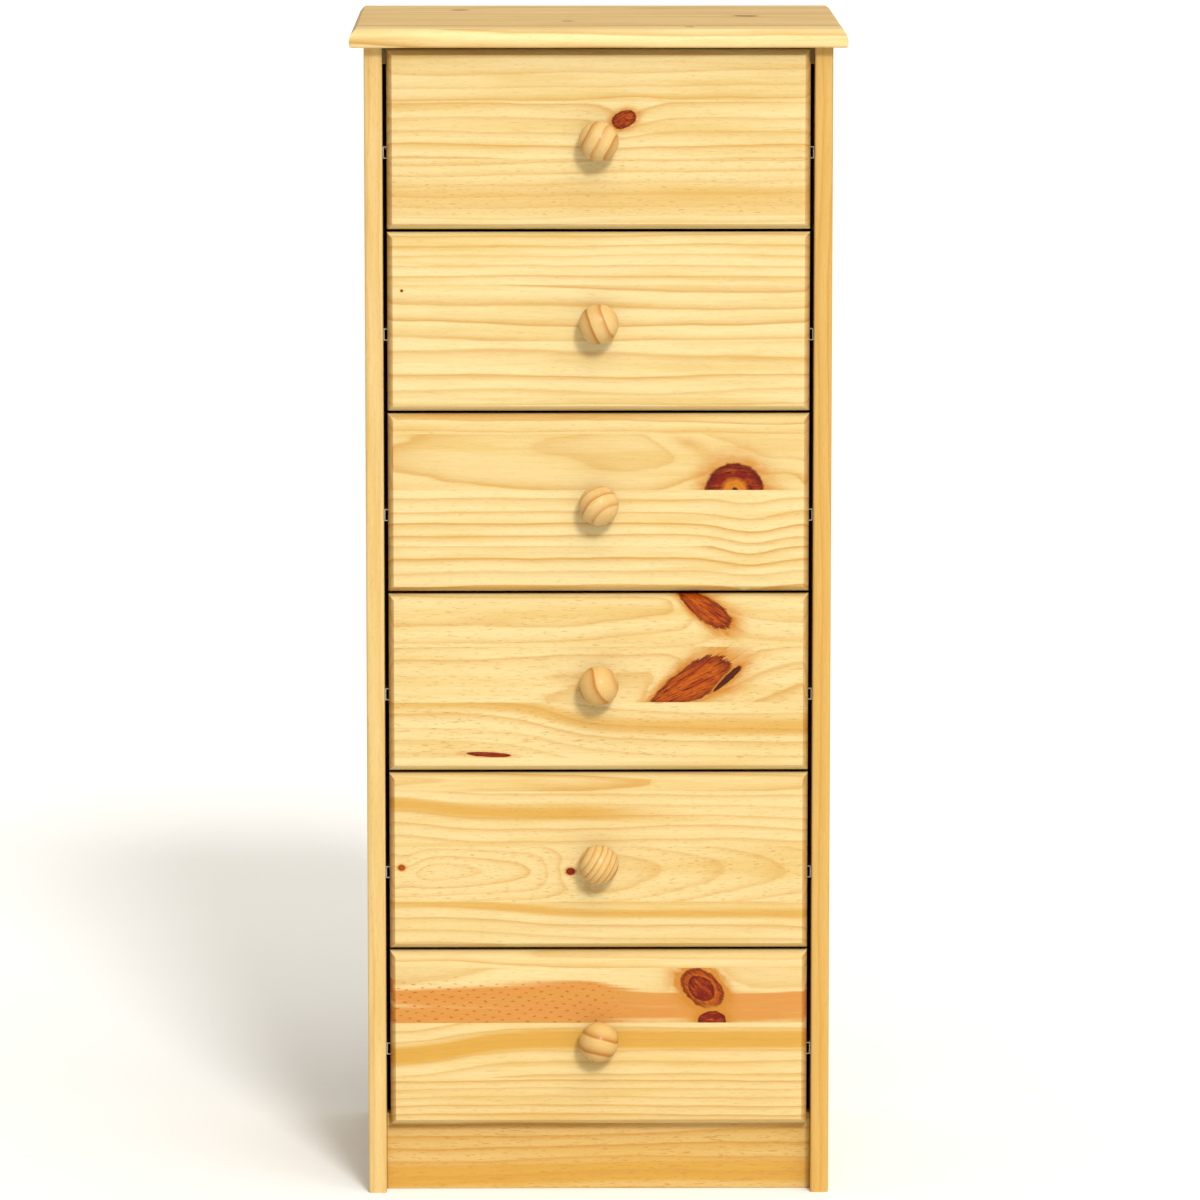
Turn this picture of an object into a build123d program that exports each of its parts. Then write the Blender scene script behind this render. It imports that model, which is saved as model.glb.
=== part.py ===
from build123d import *
import os

# Tall chest of drawers in solid knotty pine. Six drawers slide on steel channels, which are screwed
# to the side panels and run in grooves in the drawer sides.
#
# Millimetres. +Z is up and the front faces -Y, so +X is on the right of someone facing the chest.
# The origin is on the floor, at the centre of the chest's bounding box, knobs included.
# A span is a (low, high) pair along one axis. Drawer 1 is the top one and drawer 6 the bottom one.

# ---------------------------------------------------------------- driving dimensions
HEIGHT = 1170.0
CARCASS_WIDTH = 462.0
CARCASS_DEPTH = 375.0
BOARD = 18.0  # carcass boards and drawer fronts
HARDBOARD = 3.0  # the back panel and the drawer bottoms

TOP_WIDTH = 490.0
TOP_FRONT_OVERHANG = 15.0
TOP_UPPER_ROUND = 9.0
TOP_LOWER_ROUND = 2.5
SIDE_FRONT_ROUND = 2.5
SIDE_FOOT_ROUND = 3.0

DRAWER_COUNT = 6
DRAWER_PITCH = 180.5
FRONT_GAP = 3.0  # between one drawer front and the next
TOP_GAP = 2.5  # between the top drawer front and the top panel
FRONT_SIDE_GAP = 4.0  # between a drawer front and the side panel
BEVEL_INSET = 5.5  # width of the bevel round a drawer front, seen from the front
BEVEL_DEPTH = 9.0  # depth of the same bevel

DRAWER_BOARD = 12.0  # drawer sides and backs
DRAWER_BOX_WIDTH = 417.0
DRAWER_BOX_LENGTH = 336.0
DRAWER_SIDE_HEIGHT = 125.0
DRAWER_SIDE_RISE = 12.25  # underside of the drawer sides above the underside of the front
BOTTOM_RISE = 8.0  # drawer bottom above the underside of the drawer sides
BOTTOM_GROOVE_DEPTH = 5.0
BOTTOM_GROOVE_HEIGHT = 3.2
BOTTOM_EDGE_GAP = 0.5  # between a drawer bottom's edge and the end of its groove

RUNNER_HEIGHT = 12.0
RUNNER_WIDTH = 9.0
RUNNER_METAL = 1.0
RUNNER_LENGTH = 330.0
RUNNER_SETBACK = 19.0  # front end of a runner behind the faces of the drawer fronts
RUNNER_GROOVE_HEIGHT = 12.8
RUNNER_GROOVE_DEPTH = 5.5

PLINTH_HEIGHT = 78.0
PLINTH_SETBACK = 19.0
RAIL_DEPTH = 60.0
REBATE_WIDTH = 9.0  # how far the back panel laps each side panel
BACK_PANEL_RISE = 20.0  # lower edge of the back panel above the floor

KNOB_RADIUS = 19.75
KNOB_PROJECTION = 37.0
KNOB_FOOT_RADIUS = 12.0
KNOB_NECK_ROUND = 1.2  # hollow between the foot and the ball
KNOB_HOLE_DEPTH = 15.0

CARCASS_DOWEL = (4.0, 30.0)  # radius and length
DRAWER_DOWEL = (3.0, 26.0)
KNOB_SCREW = (2.0, 31.0)
RUNNER_SCREW = (1.75, 13.0)
TOP_SCREW = (2.0, 29.0)
BACK_NAIL = (0.8, 16.0)
PAN_HEAD = (3.9, 2.4)  # radius and height of a knob screw's head
SMALL_PAN_HEAD = (3.2, 1.9)
SUNK_HEAD = (3.9, 2.4)
NAIL_HEAD = (1.6, 0.8)
CROSS_SLOT = (0.9, 1.1)  # width and depth of the cross in a pan head

DOWEL_DEPTH = 11.0  # part of a dowel that sits in the face of a board
DRAWER_DOWEL_DEPTH = 8.0
HOLE_CLEARANCE = 0.05  # on the radius of every hole
END_CLEARANCE = 0.5  # at each end of a dowel

# ---------------------------------------------------------------- worked out from the above
DEPTH = CARCASS_DEPTH + KNOB_PROJECTION
FRONT_Y = KNOB_PROJECTION - DEPTH / 2
REAR_Y = DEPTH / 2
OUTER_X = CARCASS_WIDTH / 2
INNER_X = OUTER_X - BOARD
SIDE_HEIGHT = HEIGHT - BOARD
FRONT_BACK_Y = FRONT_Y + BOARD  # back face of the drawer fronts
BACK_PANEL_Y = REAR_Y - HARDBOARD  # front face of the back panel

FRONT_WIDTH = 2 * (INNER_X - FRONT_SIDE_GAP)
FRONT_HEIGHT = DRAWER_PITCH - FRONT_GAP
BOX_OUTER_X = DRAWER_BOX_WIDTH / 2
BOX_INNER_X = BOX_OUTER_X - DRAWER_BOARD
BOX_REAR_Y = FRONT_BACK_Y + DRAWER_BOX_LENGTH
RUNNER_FRONT_Y = FRONT_Y + RUNNER_SETBACK
RUNNER_CENTRE_RISE = DRAWER_SIDE_RISE + DRAWER_SIDE_HEIGHT / 2

PLINTH_FRONT_Y = (FRONT_Y + PLINTH_SETBACK, FRONT_Y + PLINTH_SETBACK + BOARD)
PLINTH_REAR_Y = (BACK_PANEL_Y - BOARD, BACK_PANEL_Y)
RAIL_FRONT_Y = (FRONT_BACK_Y + 2, FRONT_BACK_Y + 2 + RAIL_DEPTH)
RAIL_REAR_Y = (BACK_PANEL_Y - RAIL_DEPTH, BACK_PANEL_Y)
RAIL_Z = (SIDE_HEIGHT - BOARD, SIDE_HEIGHT)

DRAWER_NUMBERS = range(1, DRAWER_COUNT + 1)
SIGNS = {"left": -1, "right": 1}
TURNS = {
    "+x": Rot(0, 90, 0),
    "-x": Rot(0, -90, 0),
    "-y": Rot(90, 0, 0),
    "+z": Rot(0, 0, 0),
}


# ---------------------------------------------------------------- helpers
def block(x, y, z):
    """A box from its spans along the three axes."""
    corner = Pos(x[0], y[0], z[0])
    return corner * Box(x[1] - x[0], y[1] - y[0], z[1] - z[0], align=(Align.MIN, Align.MIN, Align.MIN))


def mirrored(sign, inner, outer):
    """A span along X between two distances from the centre, on the right or, mirrored, on the left."""
    return (inner, outer) if sign > 0 else (-outer, -inner)


def middle(span):
    """The centre of a span."""
    return (span[0] + span[1]) / 2


def rod(centre, direction, radius, length):
    """A cylinder centred on a point, along one of the named directions."""
    return Pos(*centre) * TURNS[direction] * Cylinder(radius, length)


def drill(centre, direction, size, clearance=HOLE_CLEARANCE, spare=END_CLEARANCE):
    """The hole for a dowel of the given (radius, length), a little wider and longer than it."""
    return rod(centre, direction, size[0] + clearance, size[1] + 2 * spare)


def pan_screw(place, direction, size, head):
    """A screw with a flat round head and a cross, whose shank starts at the given place."""
    shank = Cylinder(size[0], size[1], align=(Align.CENTER, Align.CENTER, Align.MIN))
    cap = Cylinder(head[0], head[1], align=(Align.CENTER, Align.CENTER, Align.MAX))
    slot = Box(1.3 * head[0], CROSS_SLOT[0], CROSS_SLOT[1], align=(Align.CENTER, Align.CENTER, Align.MIN))
    cross = Pos(0, 0, -head[1]) * (slot + Rot(0, 0, 90) * slot)
    return Pos(*place) * TURNS[direction] * (shank + cap - cross)


def sunk_screw(place, direction, size, head, growth=0.0):
    """A countersunk screw whose head is flush with the given place, or its hole if growth is given."""
    radius = size[0] + growth
    shank = Cylinder(radius, size[1] + growth, align=(Align.CENTER, Align.CENTER, Align.MIN))
    cone = Cone(head[0] + growth, radius, head[1], align=(Align.CENTER, Align.CENTER, Align.MIN))
    return Pos(*place) * TURNS[direction] * (shank + cone)


def nail(place, growth=0.0):
    """A nail driven forwards from the back face, its head flush, or its hole if growth is given."""
    shank = Cylinder(BACK_NAIL[0] + growth, BACK_NAIL[1] + growth, align=(Align.CENTER, Align.CENTER, Align.MIN))
    head = Cylinder(NAIL_HEAD[0] + growth, NAIL_HEAD[1], align=(Align.CENTER, Align.CENTER, Align.MIN))
    return Pos(*place) * TURNS["-y"] * (shank + head)


def front_bottom(number):
    """Height of the underside of a drawer's front."""
    return SIDE_HEIGHT - TOP_GAP - FRONT_HEIGHT - (number - 1) * DRAWER_PITCH


# ---------------------------------------------------------------- places of the carcass fixings
def carcass_dowel_places():
    """(centre, direction) of each dowel: in the ends of the plinths and rails, and under the top."""
    radius, length = CARCASS_DOWEL
    places = []
    for sign in SIGNS.values():
        x = sign * (INNER_X + DOWEL_DEPTH - length / 2)
        for y_span in (PLINTH_FRONT_Y, PLINTH_REAR_Y):
            for height in (0.27 * PLINTH_HEIGHT, 0.73 * PLINTH_HEIGHT):
                places.append(((x, middle(y_span), height), "+x"))
        for y_span in (RAIL_FRONT_Y, RAIL_REAR_Y):
            for offset in (-RAIL_DEPTH / 4, RAIL_DEPTH / 4):
                places.append(((x, middle(y_span) + offset, middle(RAIL_Z)), "+x"))
        upright_z = SIDE_HEIGHT + DOWEL_DEPTH - length / 2
        for y in (middle(RAIL_FRONT_Y), (FRONT_Y + REAR_Y) / 2, middle(RAIL_REAR_Y)):
            places.append(((sign * (OUTER_X - BOARD / 2), y, upright_z), "+z"))
    return places


def runner_screw_places():
    """(point on the runner's web, direction) of the two screws in each runner."""
    places = []
    for number in DRAWER_NUMBERS:
        z = front_bottom(number) + RUNNER_CENTRE_RISE
        for direction, sign in (("-x", -1), ("+x", 1)):
            for y in (RUNNER_FRONT_Y + 45, RUNNER_FRONT_Y + RUNNER_LENGTH - 45):
                places.append(((sign * (INNER_X - RUNNER_METAL), y, z), direction))
    return places


def top_screw_places():
    """Points under the two top rails from which the top panel is screwed."""
    return [(x, middle(y_span), RAIL_Z[0]) for y_span in (RAIL_FRONT_Y, RAIL_REAR_Y) for x in (-130, 130)]


def back_nail_places():
    """Points on the back face: down both side panels, and along the rear rail and the rear plinth."""
    low, high = BACK_PANEL_RISE + 25, SIDE_HEIGHT - 25
    rows = 9
    heights = [low + (high - low) * row / (rows - 1) for row in range(rows)]
    edge_x = INNER_X + REBATE_WIDTH / 2
    places = [(x, REAR_Y, z) for x in (-edge_x, edge_x) for z in heights]
    places += [(x, REAR_Y, z) for z in (middle(RAIL_Z), PLINTH_HEIGHT / 2) for x in (-110, 0, 110)]
    return places


CARCASS_DOWEL_PLACES = carcass_dowel_places()
DOWEL_HOLES = [drill(centre, direction, CARCASS_DOWEL) for centre, direction in CARCASS_DOWEL_PLACES]
TOP_SCREW_HOLES = [sunk_screw(place, "+z", TOP_SCREW, SUNK_HEAD, HOLE_CLEARANCE) for place in top_screw_places()]
NAIL_HOLES = [nail(place, HOLE_CLEARANCE) for place in back_nail_places()]
RUNNER_SCREW_HOLES = [
    rod(centre, direction, RUNNER_SCREW[0] + HOLE_CLEARANCE, 2 * RUNNER_SCREW[1])
    for centre, direction in runner_screw_places()
]


# ---------------------------------------------------------------- carcass
def top_panel():
    """Top board, rounded over at the front and the sides and square at the rear."""
    half = TOP_WIDTH / 2
    board = block((-half, half), (FRONT_Y - TOP_FRONT_OVERHANG, REAR_Y), (SIDE_HEIGHT, HEIGHT))
    upper = board.faces().sort_by(Axis.Z)[-1].edges().sort_by(Axis.Y)[:-1]
    board = fillet(upper, TOP_UPPER_ROUND)
    lower = board.faces().sort_by(Axis.Z)[0].edges().sort_by(Axis.Y)[:-1]
    board = fillet(lower, TOP_LOWER_ROUND)
    return board - DOWEL_HOLES - TOP_SCREW_HOLES


def side_panel(sign):
    """Side board down to the floor, with a rebate at the rear for the back panel."""
    board = block(mirrored(sign, INNER_X, OUTER_X), (FRONT_Y, REAR_Y), (0, SIDE_HEIGHT))
    front = board.faces().sort_by(Axis.Y)[0]
    board = fillet(front.edges().filter_by(Axis.Z), SIDE_FRONT_ROUND)
    foot = board.faces().sort_by(Axis.Z)[0]
    board = fillet(foot.edges().filter_by(Axis.Y), SIDE_FOOT_ROUND)
    lap = mirrored(sign, INNER_X - 1, INNER_X + REBATE_WIDTH)
    rebate = block(lap, (BACK_PANEL_Y, REAR_Y + 1), (-1, SIDE_HEIGHT + 1))
    return board - rebate - DOWEL_HOLES - RUNNER_SCREW_HOLES - NAIL_HOLES


def cross_board(y_span, z_span):
    """A plinth or rail between the side panels."""
    board = block((-INNER_X, INNER_X), y_span, z_span)
    return board - DOWEL_HOLES - TOP_SCREW_HOLES - NAIL_HOLES


def back_panel():
    """Hardboard sheet nailed into the rebates of the side panels."""
    half = INNER_X + REBATE_WIDTH
    sheet = block((-half, half), (BACK_PANEL_Y, REAR_Y), (BACK_PANEL_RISE, SIDE_HEIGHT))
    return sheet - NAIL_HOLES


def runner(sign, number):
    """Steel channel, open towards the drawer, with two holes in its web."""
    z = front_bottom(number) + RUNNER_CENTRE_RISE
    y_span = (RUNNER_FRONT_Y, RUNNER_FRONT_Y + RUNNER_LENGTH)
    bar = block(mirrored(sign, INNER_X - RUNNER_WIDTH, INNER_X), y_span, (z - RUNNER_HEIGHT / 2, z + RUNNER_HEIGHT / 2))
    inner_half = RUNNER_HEIGHT / 2 - RUNNER_METAL
    hollow = mirrored(sign, INNER_X - RUNNER_WIDTH - 1, INNER_X - RUNNER_METAL)
    return bar - block(hollow, (y_span[0] - 1, y_span[1] + 1), (z - inner_half, z + inner_half)) - RUNNER_SCREW_HOLES


def carcass():
    """The nodes of everything that stands still."""
    runners = [runner(sign, number) for number in DRAWER_NUMBERS for sign in SIGNS.values()]
    dowels = [rod(centre, direction, *CARCASS_DOWEL) for centre, direction in CARCASS_DOWEL_PLACES]
    runner_screws = [
        pan_screw(place, direction, RUNNER_SCREW, SMALL_PAN_HEAD) for place, direction in runner_screw_places()
    ]
    top_screws = [sunk_screw(place, "+z", TOP_SCREW, SUNK_HEAD) for place in top_screw_places()]
    return {
        "top_panel": top_panel(),
        "side_panel_left": side_panel(SIGNS["left"]),
        "side_panel_right": side_panel(SIGNS["right"]),
        "back_panel": back_panel(),
        "plinth_front": cross_board(PLINTH_FRONT_Y, (0, PLINTH_HEIGHT)),
        "plinth_rear": cross_board(PLINTH_REAR_Y, (0, PLINTH_HEIGHT)),
        "rail_top_front": cross_board(RAIL_FRONT_Y, RAIL_Z),
        "rail_top_rear": cross_board(RAIL_REAR_Y, RAIL_Z),
        "drawer_runners": Compound(runners),
        "carcass_dowels": Compound(dowels),
        "carcass_screws": Compound(runner_screws + top_screws),
        "back_nails": Compound([nail(place) for place in back_nail_places()]),
    }


# ---------------------------------------------------------------- drawers
def drawer_dowel_places(base):
    """(centre, direction) of a drawer's dowels: two in each corner joint."""
    radius, length = DRAWER_DOWEL
    places = []
    for sign in SIGNS.values():
        for share in (0.2, 0.8):
            z = base + DRAWER_SIDE_RISE + share * DRAWER_SIDE_HEIGHT
            side_x = sign * (BOX_OUTER_X - DRAWER_BOARD / 2)
            places.append(((side_x, FRONT_BACK_Y - DRAWER_DOWEL_DEPTH + length / 2, z), "-y"))
            back_x = sign * (BOX_INNER_X + DRAWER_DOWEL_DEPTH - length / 2)
            places.append(((back_x, BOX_REAR_Y - DRAWER_BOARD / 2, z), "+x"))
    return places


def bottom_groove(base):
    """The space cut into the front, sides and back for the edges of the drawer bottom."""
    reach_x = BOX_INNER_X + BOTTOM_GROOVE_DEPTH
    y_span = (FRONT_BACK_Y - BOTTOM_GROOVE_DEPTH, BOX_REAR_Y - DRAWER_BOARD + BOTTOM_GROOVE_DEPTH)
    low = base + DRAWER_SIDE_RISE + BOTTOM_RISE
    return block((-reach_x, reach_x), y_span, (low, low + BOTTOM_GROOVE_HEIGHT))


def drawer_front(base, holes, knob_z):
    """Front board with a bevel all round its face, a groove for the bottom and the knob's screw hole."""
    outline = Pos(0, FRONT_BACK_Y, base + FRONT_HEIGHT / 2) * Rot(90, 0, 0) * Rectangle(FRONT_WIDTH, FRONT_HEIGHT)
    board = extrude(outline, amount=BOARD - BEVEL_DEPTH)
    shoulder = Pos(0, BEVEL_DEPTH - BOARD, 0) * outline
    bevel_angle = Vector(BEVEL_DEPTH, 0, 0).get_angle(Vector(BEVEL_DEPTH, BEVEL_INSET, 0))
    board += extrude(shoulder, amount=BEVEL_DEPTH, taper=bevel_angle)
    screw_hole = rod((0, FRONT_Y, knob_z), "-y", KNOB_SCREW[0] + 0.25, 3 * BOARD)
    return board - bottom_groove(base) - holes - screw_hole


def drawer_side(sign, base, holes):
    """Side board with the runner's groove along its outer face."""
    low = base + DRAWER_SIDE_RISE
    y_span = (FRONT_BACK_Y, BOX_REAR_Y)
    board = block(mirrored(sign, BOX_INNER_X, BOX_OUTER_X), y_span, (low, low + DRAWER_SIDE_HEIGHT))
    centre = base + RUNNER_CENTRE_RISE
    groove_x = mirrored(sign, BOX_OUTER_X - RUNNER_GROOVE_DEPTH, BOX_OUTER_X + 1)
    groove_z = (centre - RUNNER_GROOVE_HEIGHT / 2, centre + RUNNER_GROOVE_HEIGHT / 2)
    runner_groove = block(groove_x, (y_span[0] - 1, y_span[1] + 1), groove_z)
    return board - runner_groove - bottom_groove(base) - holes


def drawer_back(base, holes):
    """Back board between the two sides."""
    low = base + DRAWER_SIDE_RISE
    board = block((-BOX_INNER_X, BOX_INNER_X), (BOX_REAR_Y - DRAWER_BOARD, BOX_REAR_Y), (low, low + DRAWER_SIDE_HEIGHT))
    return board - bottom_groove(base) - holes


def drawer_bottom(base):
    """Hardboard sheet that lies in the grooves of the four boards."""
    reach = BOTTOM_GROOVE_DEPTH - BOTTOM_EDGE_GAP
    half = BOX_INNER_X + reach
    low = base + DRAWER_SIDE_RISE + BOTTOM_RISE
    return block((-half, half), (FRONT_BACK_Y - reach, BOX_REAR_Y - DRAWER_BOARD + reach), (low, low + HARDBOARD))


def knob(z):
    """Turned ball on a short foot, with a blind hole for its screw. It is turned about Z, then laid over."""
    ball_z = KNOB_PROJECTION - KNOB_RADIUS
    neck_x = KNOB_FOOT_RADIUS + KNOB_NECK_ROUND
    neck_reach = KNOB_RADIUS + KNOB_NECK_ROUND
    neck_drop = (neck_reach**2 - neck_x**2) ** 0.5
    share = KNOB_RADIUS / neck_reach
    foot_top = (KNOB_FOOT_RADIUS, ball_z - neck_drop)
    ball_start = (share * neck_x, ball_z - share * neck_drop)
    neck = TangentArc(foot_top, ball_start, tangent=(0, 1))
    ball = ThreePointArc(ball_start, (KNOB_RADIUS, ball_z), (0, KNOB_PROJECTION))
    base = Polyline((0, KNOB_PROJECTION), (0, 0), (KNOB_FOOT_RADIUS, 0), foot_top)
    profile = make_face(base + neck + ball)
    turned = revolve(Rot(90, 0, 0) * profile, Axis.Z)
    hole = Cylinder(KNOB_SCREW[0] + HOLE_CLEARANCE, 2 * KNOB_HOLE_DEPTH)
    return Pos(0, FRONT_Y, z) * TURNS["-y"] * (turned - hole)


def drawer(number):
    """The nodes of one drawer."""
    base = front_bottom(number)
    knob_z = base + FRONT_HEIGHT / 2
    places = drawer_dowel_places(base)
    holes = [drill(centre, direction, DRAWER_DOWEL) for centre, direction in places]
    nodes = {
        "front": drawer_front(base, holes, knob_z),
        "side_left": drawer_side(SIGNS["left"], base, holes),
        "side_right": drawer_side(SIGNS["right"], base, holes),
        "back": drawer_back(base, holes),
        "bottom": drawer_bottom(base),
        "knob": knob(knob_z),
        "knob_screw": pan_screw((0, FRONT_BACK_Y, knob_z), "-y", KNOB_SCREW, PAN_HEAD),
        "dowels": Compound([rod(centre, direction, *DRAWER_DOWEL) for centre, direction in places]),
    }
    return {f"drawer_{number}_{name}": shape for name, shape in nodes.items()}


# ---------------------------------------------------------------- output
def main():
    """Write one STEP file for each node."""
    os.makedirs("parts", exist_ok=True)
    nodes = carcass()
    for number in DRAWER_NUMBERS:
        nodes.update(drawer(number))
    for name, shape in nodes.items():
        export_step(shape, f"parts/{name}.step")
    print(f"{len(nodes)} nodes written")


main()
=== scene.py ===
"""Looks of a tall knotty-pine chest of drawers: boards, knobs, finishes, studio light and camera.

Metres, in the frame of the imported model: +Z is up, the front faces -Y and the floor is at Z = 0.
"""
import logging
import math
from dataclasses import dataclass, field
from enum import Enum
from typing import Union

import bpy
import numpy as np
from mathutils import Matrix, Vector


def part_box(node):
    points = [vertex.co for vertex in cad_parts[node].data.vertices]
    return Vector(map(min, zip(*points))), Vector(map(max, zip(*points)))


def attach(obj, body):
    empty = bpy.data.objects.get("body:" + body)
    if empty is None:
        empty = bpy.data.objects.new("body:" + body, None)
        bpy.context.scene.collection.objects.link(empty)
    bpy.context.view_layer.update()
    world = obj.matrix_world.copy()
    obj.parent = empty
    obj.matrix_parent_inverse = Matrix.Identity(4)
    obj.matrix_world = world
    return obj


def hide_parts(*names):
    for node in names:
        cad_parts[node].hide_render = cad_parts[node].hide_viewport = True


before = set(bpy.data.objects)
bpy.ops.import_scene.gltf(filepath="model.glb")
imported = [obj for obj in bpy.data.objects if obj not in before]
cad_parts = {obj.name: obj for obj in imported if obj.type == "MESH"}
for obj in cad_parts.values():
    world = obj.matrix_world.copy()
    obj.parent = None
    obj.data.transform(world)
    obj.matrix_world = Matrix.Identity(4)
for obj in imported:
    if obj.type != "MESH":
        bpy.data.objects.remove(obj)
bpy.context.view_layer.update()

logging.basicConfig(level=logging.INFO, format="%(levelname)s %(name)s: %(message)s")
log = logging.getLogger("chest")

MM = 0.001
DRAWERS = range(1, 7)
CARCASS = "carcass"

Colour = tuple[float, float, float]
Socket = bpy.types.NodeSocket
Value = Union[float, Socket]
Tint = Union[Colour, Socket]


# ------------------------------------------------------------------------------ node helper
class Graph:
    """Short calls that add nodes to one node tree and return their output sockets."""

    def __init__(self, tree: bpy.types.NodeTree) -> None:
        """Keep the tree that every later call adds to."""
        self.tree = tree

    def feed(self, socket: Socket, value: object) -> None:
        """Link the socket to another socket, or set its own value.

        Args:
            socket: The input to feed.
            value: An output socket, a number, or a colour of three parts.
        """
        if isinstance(value, bpy.types.NodeSocket):
            self.tree.links.new(value, socket)
        elif isinstance(value, tuple) and socket.type == "RGBA":
            socket.default_value = (*value, 1.0)
        else:
            socket.default_value = value

    def node(self, kind: str, *values: object, **settings: object) -> bpy.types.Node:
        """Add a node, set its properties, and feed its first inputs in order.

        Args:
            kind: Type name of the node, without "ShaderNode".
            values: Numbers, tuples or sockets for the inputs. None leaves an input alone.
            settings: Properties of the node.

        Returns:
            The new node.
        """
        made = self.tree.nodes.new("ShaderNode" + kind)
        for name, setting in settings.items():
            setattr(made, name, setting)
        for socket, value in zip(made.inputs, values):
            if value is not None:
                self.feed(socket, value)
        return made

    def math(self, operation: str, *values: Value) -> Socket:
        """One Math node of the named operation."""
        return self.node("Math", *values, operation=operation).outputs[0]

    def add(self, first: Value, *others: Value) -> Socket:
        """Sum of all the values.

        Args:
            first: First value.
            others: The rest.

        Returns:
            The sum.
        """
        for other in others:
            first = self.math("ADD", first, other)
        return first

    def sub(self, a: Value, b: Value) -> Socket:
        """a less b."""
        return self.math("SUBTRACT", a, b)

    def mul(self, first: Value, *others: Value) -> Socket:
        """Product of all the values.

        Args:
            first: First value.
            others: The rest.

        Returns:
            The product.
        """
        for other in others:
            first = self.math("MULTIPLY", first, other)
        return first

    def length(self, a: Value, b: Value) -> Socket:
        """Square root of a squared plus b squared."""
        return self.math("SQRT", self.add(self.mul(a, a), self.mul(b, b)))

    def bell(self, a: Value) -> Socket:
        """e to the power of minus a squared: 1 where a is 0, and near 0 beyond 2."""
        return self.math("EXPONENT", self.mul(a, a, -1.0))

    def step(self, value: Value, low: float, high: float) -> Socket:
        """Smooth rise from 0 at low to 1 at high, or fall where low is above high.

        Args:
            value: The value to test.
            low: Where the result is 0.
            high: Where the result is 1.

        Returns:
            A socket from 0 to 1.
        """
        node = self.node("MapRange", value, low, high, 0.0, 1.0, interpolation_type="SMOOTHSTEP")
        if low > high:
            self.feed(node.inputs[1], high)
            self.feed(node.inputs[2], low)
            return self.math("SUBTRACT", 1.0, node.outputs[0])
        return node.outputs[0]

    def scaled(self, value: Value, low: Value, high: Value) -> Socket:
        """Linear map of 0..1 to low..high."""
        return self.node("MapRange", value, 0.0, 1.0, low, high).outputs[0]

    def vector(self, x: Value, y: Value, z: Value) -> Socket:
        """A vector from three values."""
        return self.node("CombineXYZ", x, y, z).outputs[0]

    def parts(self, vector: Socket) -> tuple[Socket, Socket, Socket]:
        """The three values of a vector."""
        node = self.node("SeparateXYZ", vector)
        return node.outputs[0], node.outputs[1], node.outputs[2]

    def place(self) -> tuple[Socket, Socket, Socket]:
        """The three values of a point's place, in metres."""
        return self.parts(self.node("TexCoord").outputs["Object"])

    def grown(self, place: tuple[Socket, ...], factor: float) -> Socket:
        """A place as a vector, with all its values multiplied by the factor."""
        return self.vector(*(self.mul(part, factor) for part in place))

    def noise(self, vector: Socket, detail: float = 2.0, roughness: float = 0.5) -> Socket:
        """Cloudy noise of unit scale, about 0.5 on average."""
        return self.node("TexNoise", vector, None, 1.0, detail, roughness).outputs[0]

    def noises(self, vector: Socket, detail: float = 2.0) -> tuple[Socket, Socket, Socket]:
        """Three independent cloudy noises, each centred on zero."""
        cloud = self.node("TexNoise", vector, None, 1.0, detail, 0.5).outputs[1]
        return tuple(self.sub(part, 0.5) for part in self.parts(cloud))

    def random(self, value: Value) -> tuple[Socket, Socket, Socket]:
        """Three random numbers from 0 to 1 for each different value.

        Args:
            value: The number to draw for.

        Returns:
            Three sockets.
        """
        made = self.node("TexWhiteNoise", noise_dimensions="1D")
        self.feed(made.inputs["W"], value)
        return self.parts(made.outputs["Color"])

    def mix(self, share: Value, a: Tint, b: Tint, mode: str = "MIX") -> Socket:
        """Colour a with a share of colour b over it.

        Args:
            share: How much of b shows. It is held between 0 and 1.
            a: Colour below.
            b: Colour on top.
            mode: Name of the way of blending.

        Returns:
            The mixed colour.
        """
        made = self.node("Mix", data_type="RGBA", blend_type=mode, clamp_factor=True)
        self.feed(made.inputs[0], share)
        self.feed(made.inputs[6], a)
        self.feed(made.inputs[7], b)
        return made.outputs[2]

    def ramp(self, value: Value, stops: tuple[tuple[float, float], ...]) -> Socket:
        """Grey ramp through (position, level) stops, read as a number.

        Args:
            value: Place on the ramp.
            stops: Position and level of each stop, in order.

        Returns:
            The level.
        """
        made = self.node("ValToRGB", value)
        elements = made.color_ramp.elements
        while len(elements) < len(stops):
            elements.new(0.5)
        for element, (position, level) in zip(elements, stops):
            element.position = position
            element.color = (level, level, level, 1.0)
        return made.outputs[0]


# ------------------------------------------------------------------------------ pine
class Grain(Enum):
    """How a board lies: axis along the grain, axis across it, axis into the board and its sign."""

    FRONT = (0, 2, 1, 1.0)
    TOP = (0, 1, 2, -1.0)
    LEFT_SIDE = (2, 1, 0, 1.0)
    RIGHT_SIDE = (2, 1, 0, -1.0)
    DRAWER_SIDE = (1, 2, 0, 1.0)
    BACK = (0, 2, 1, -1.0)


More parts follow.
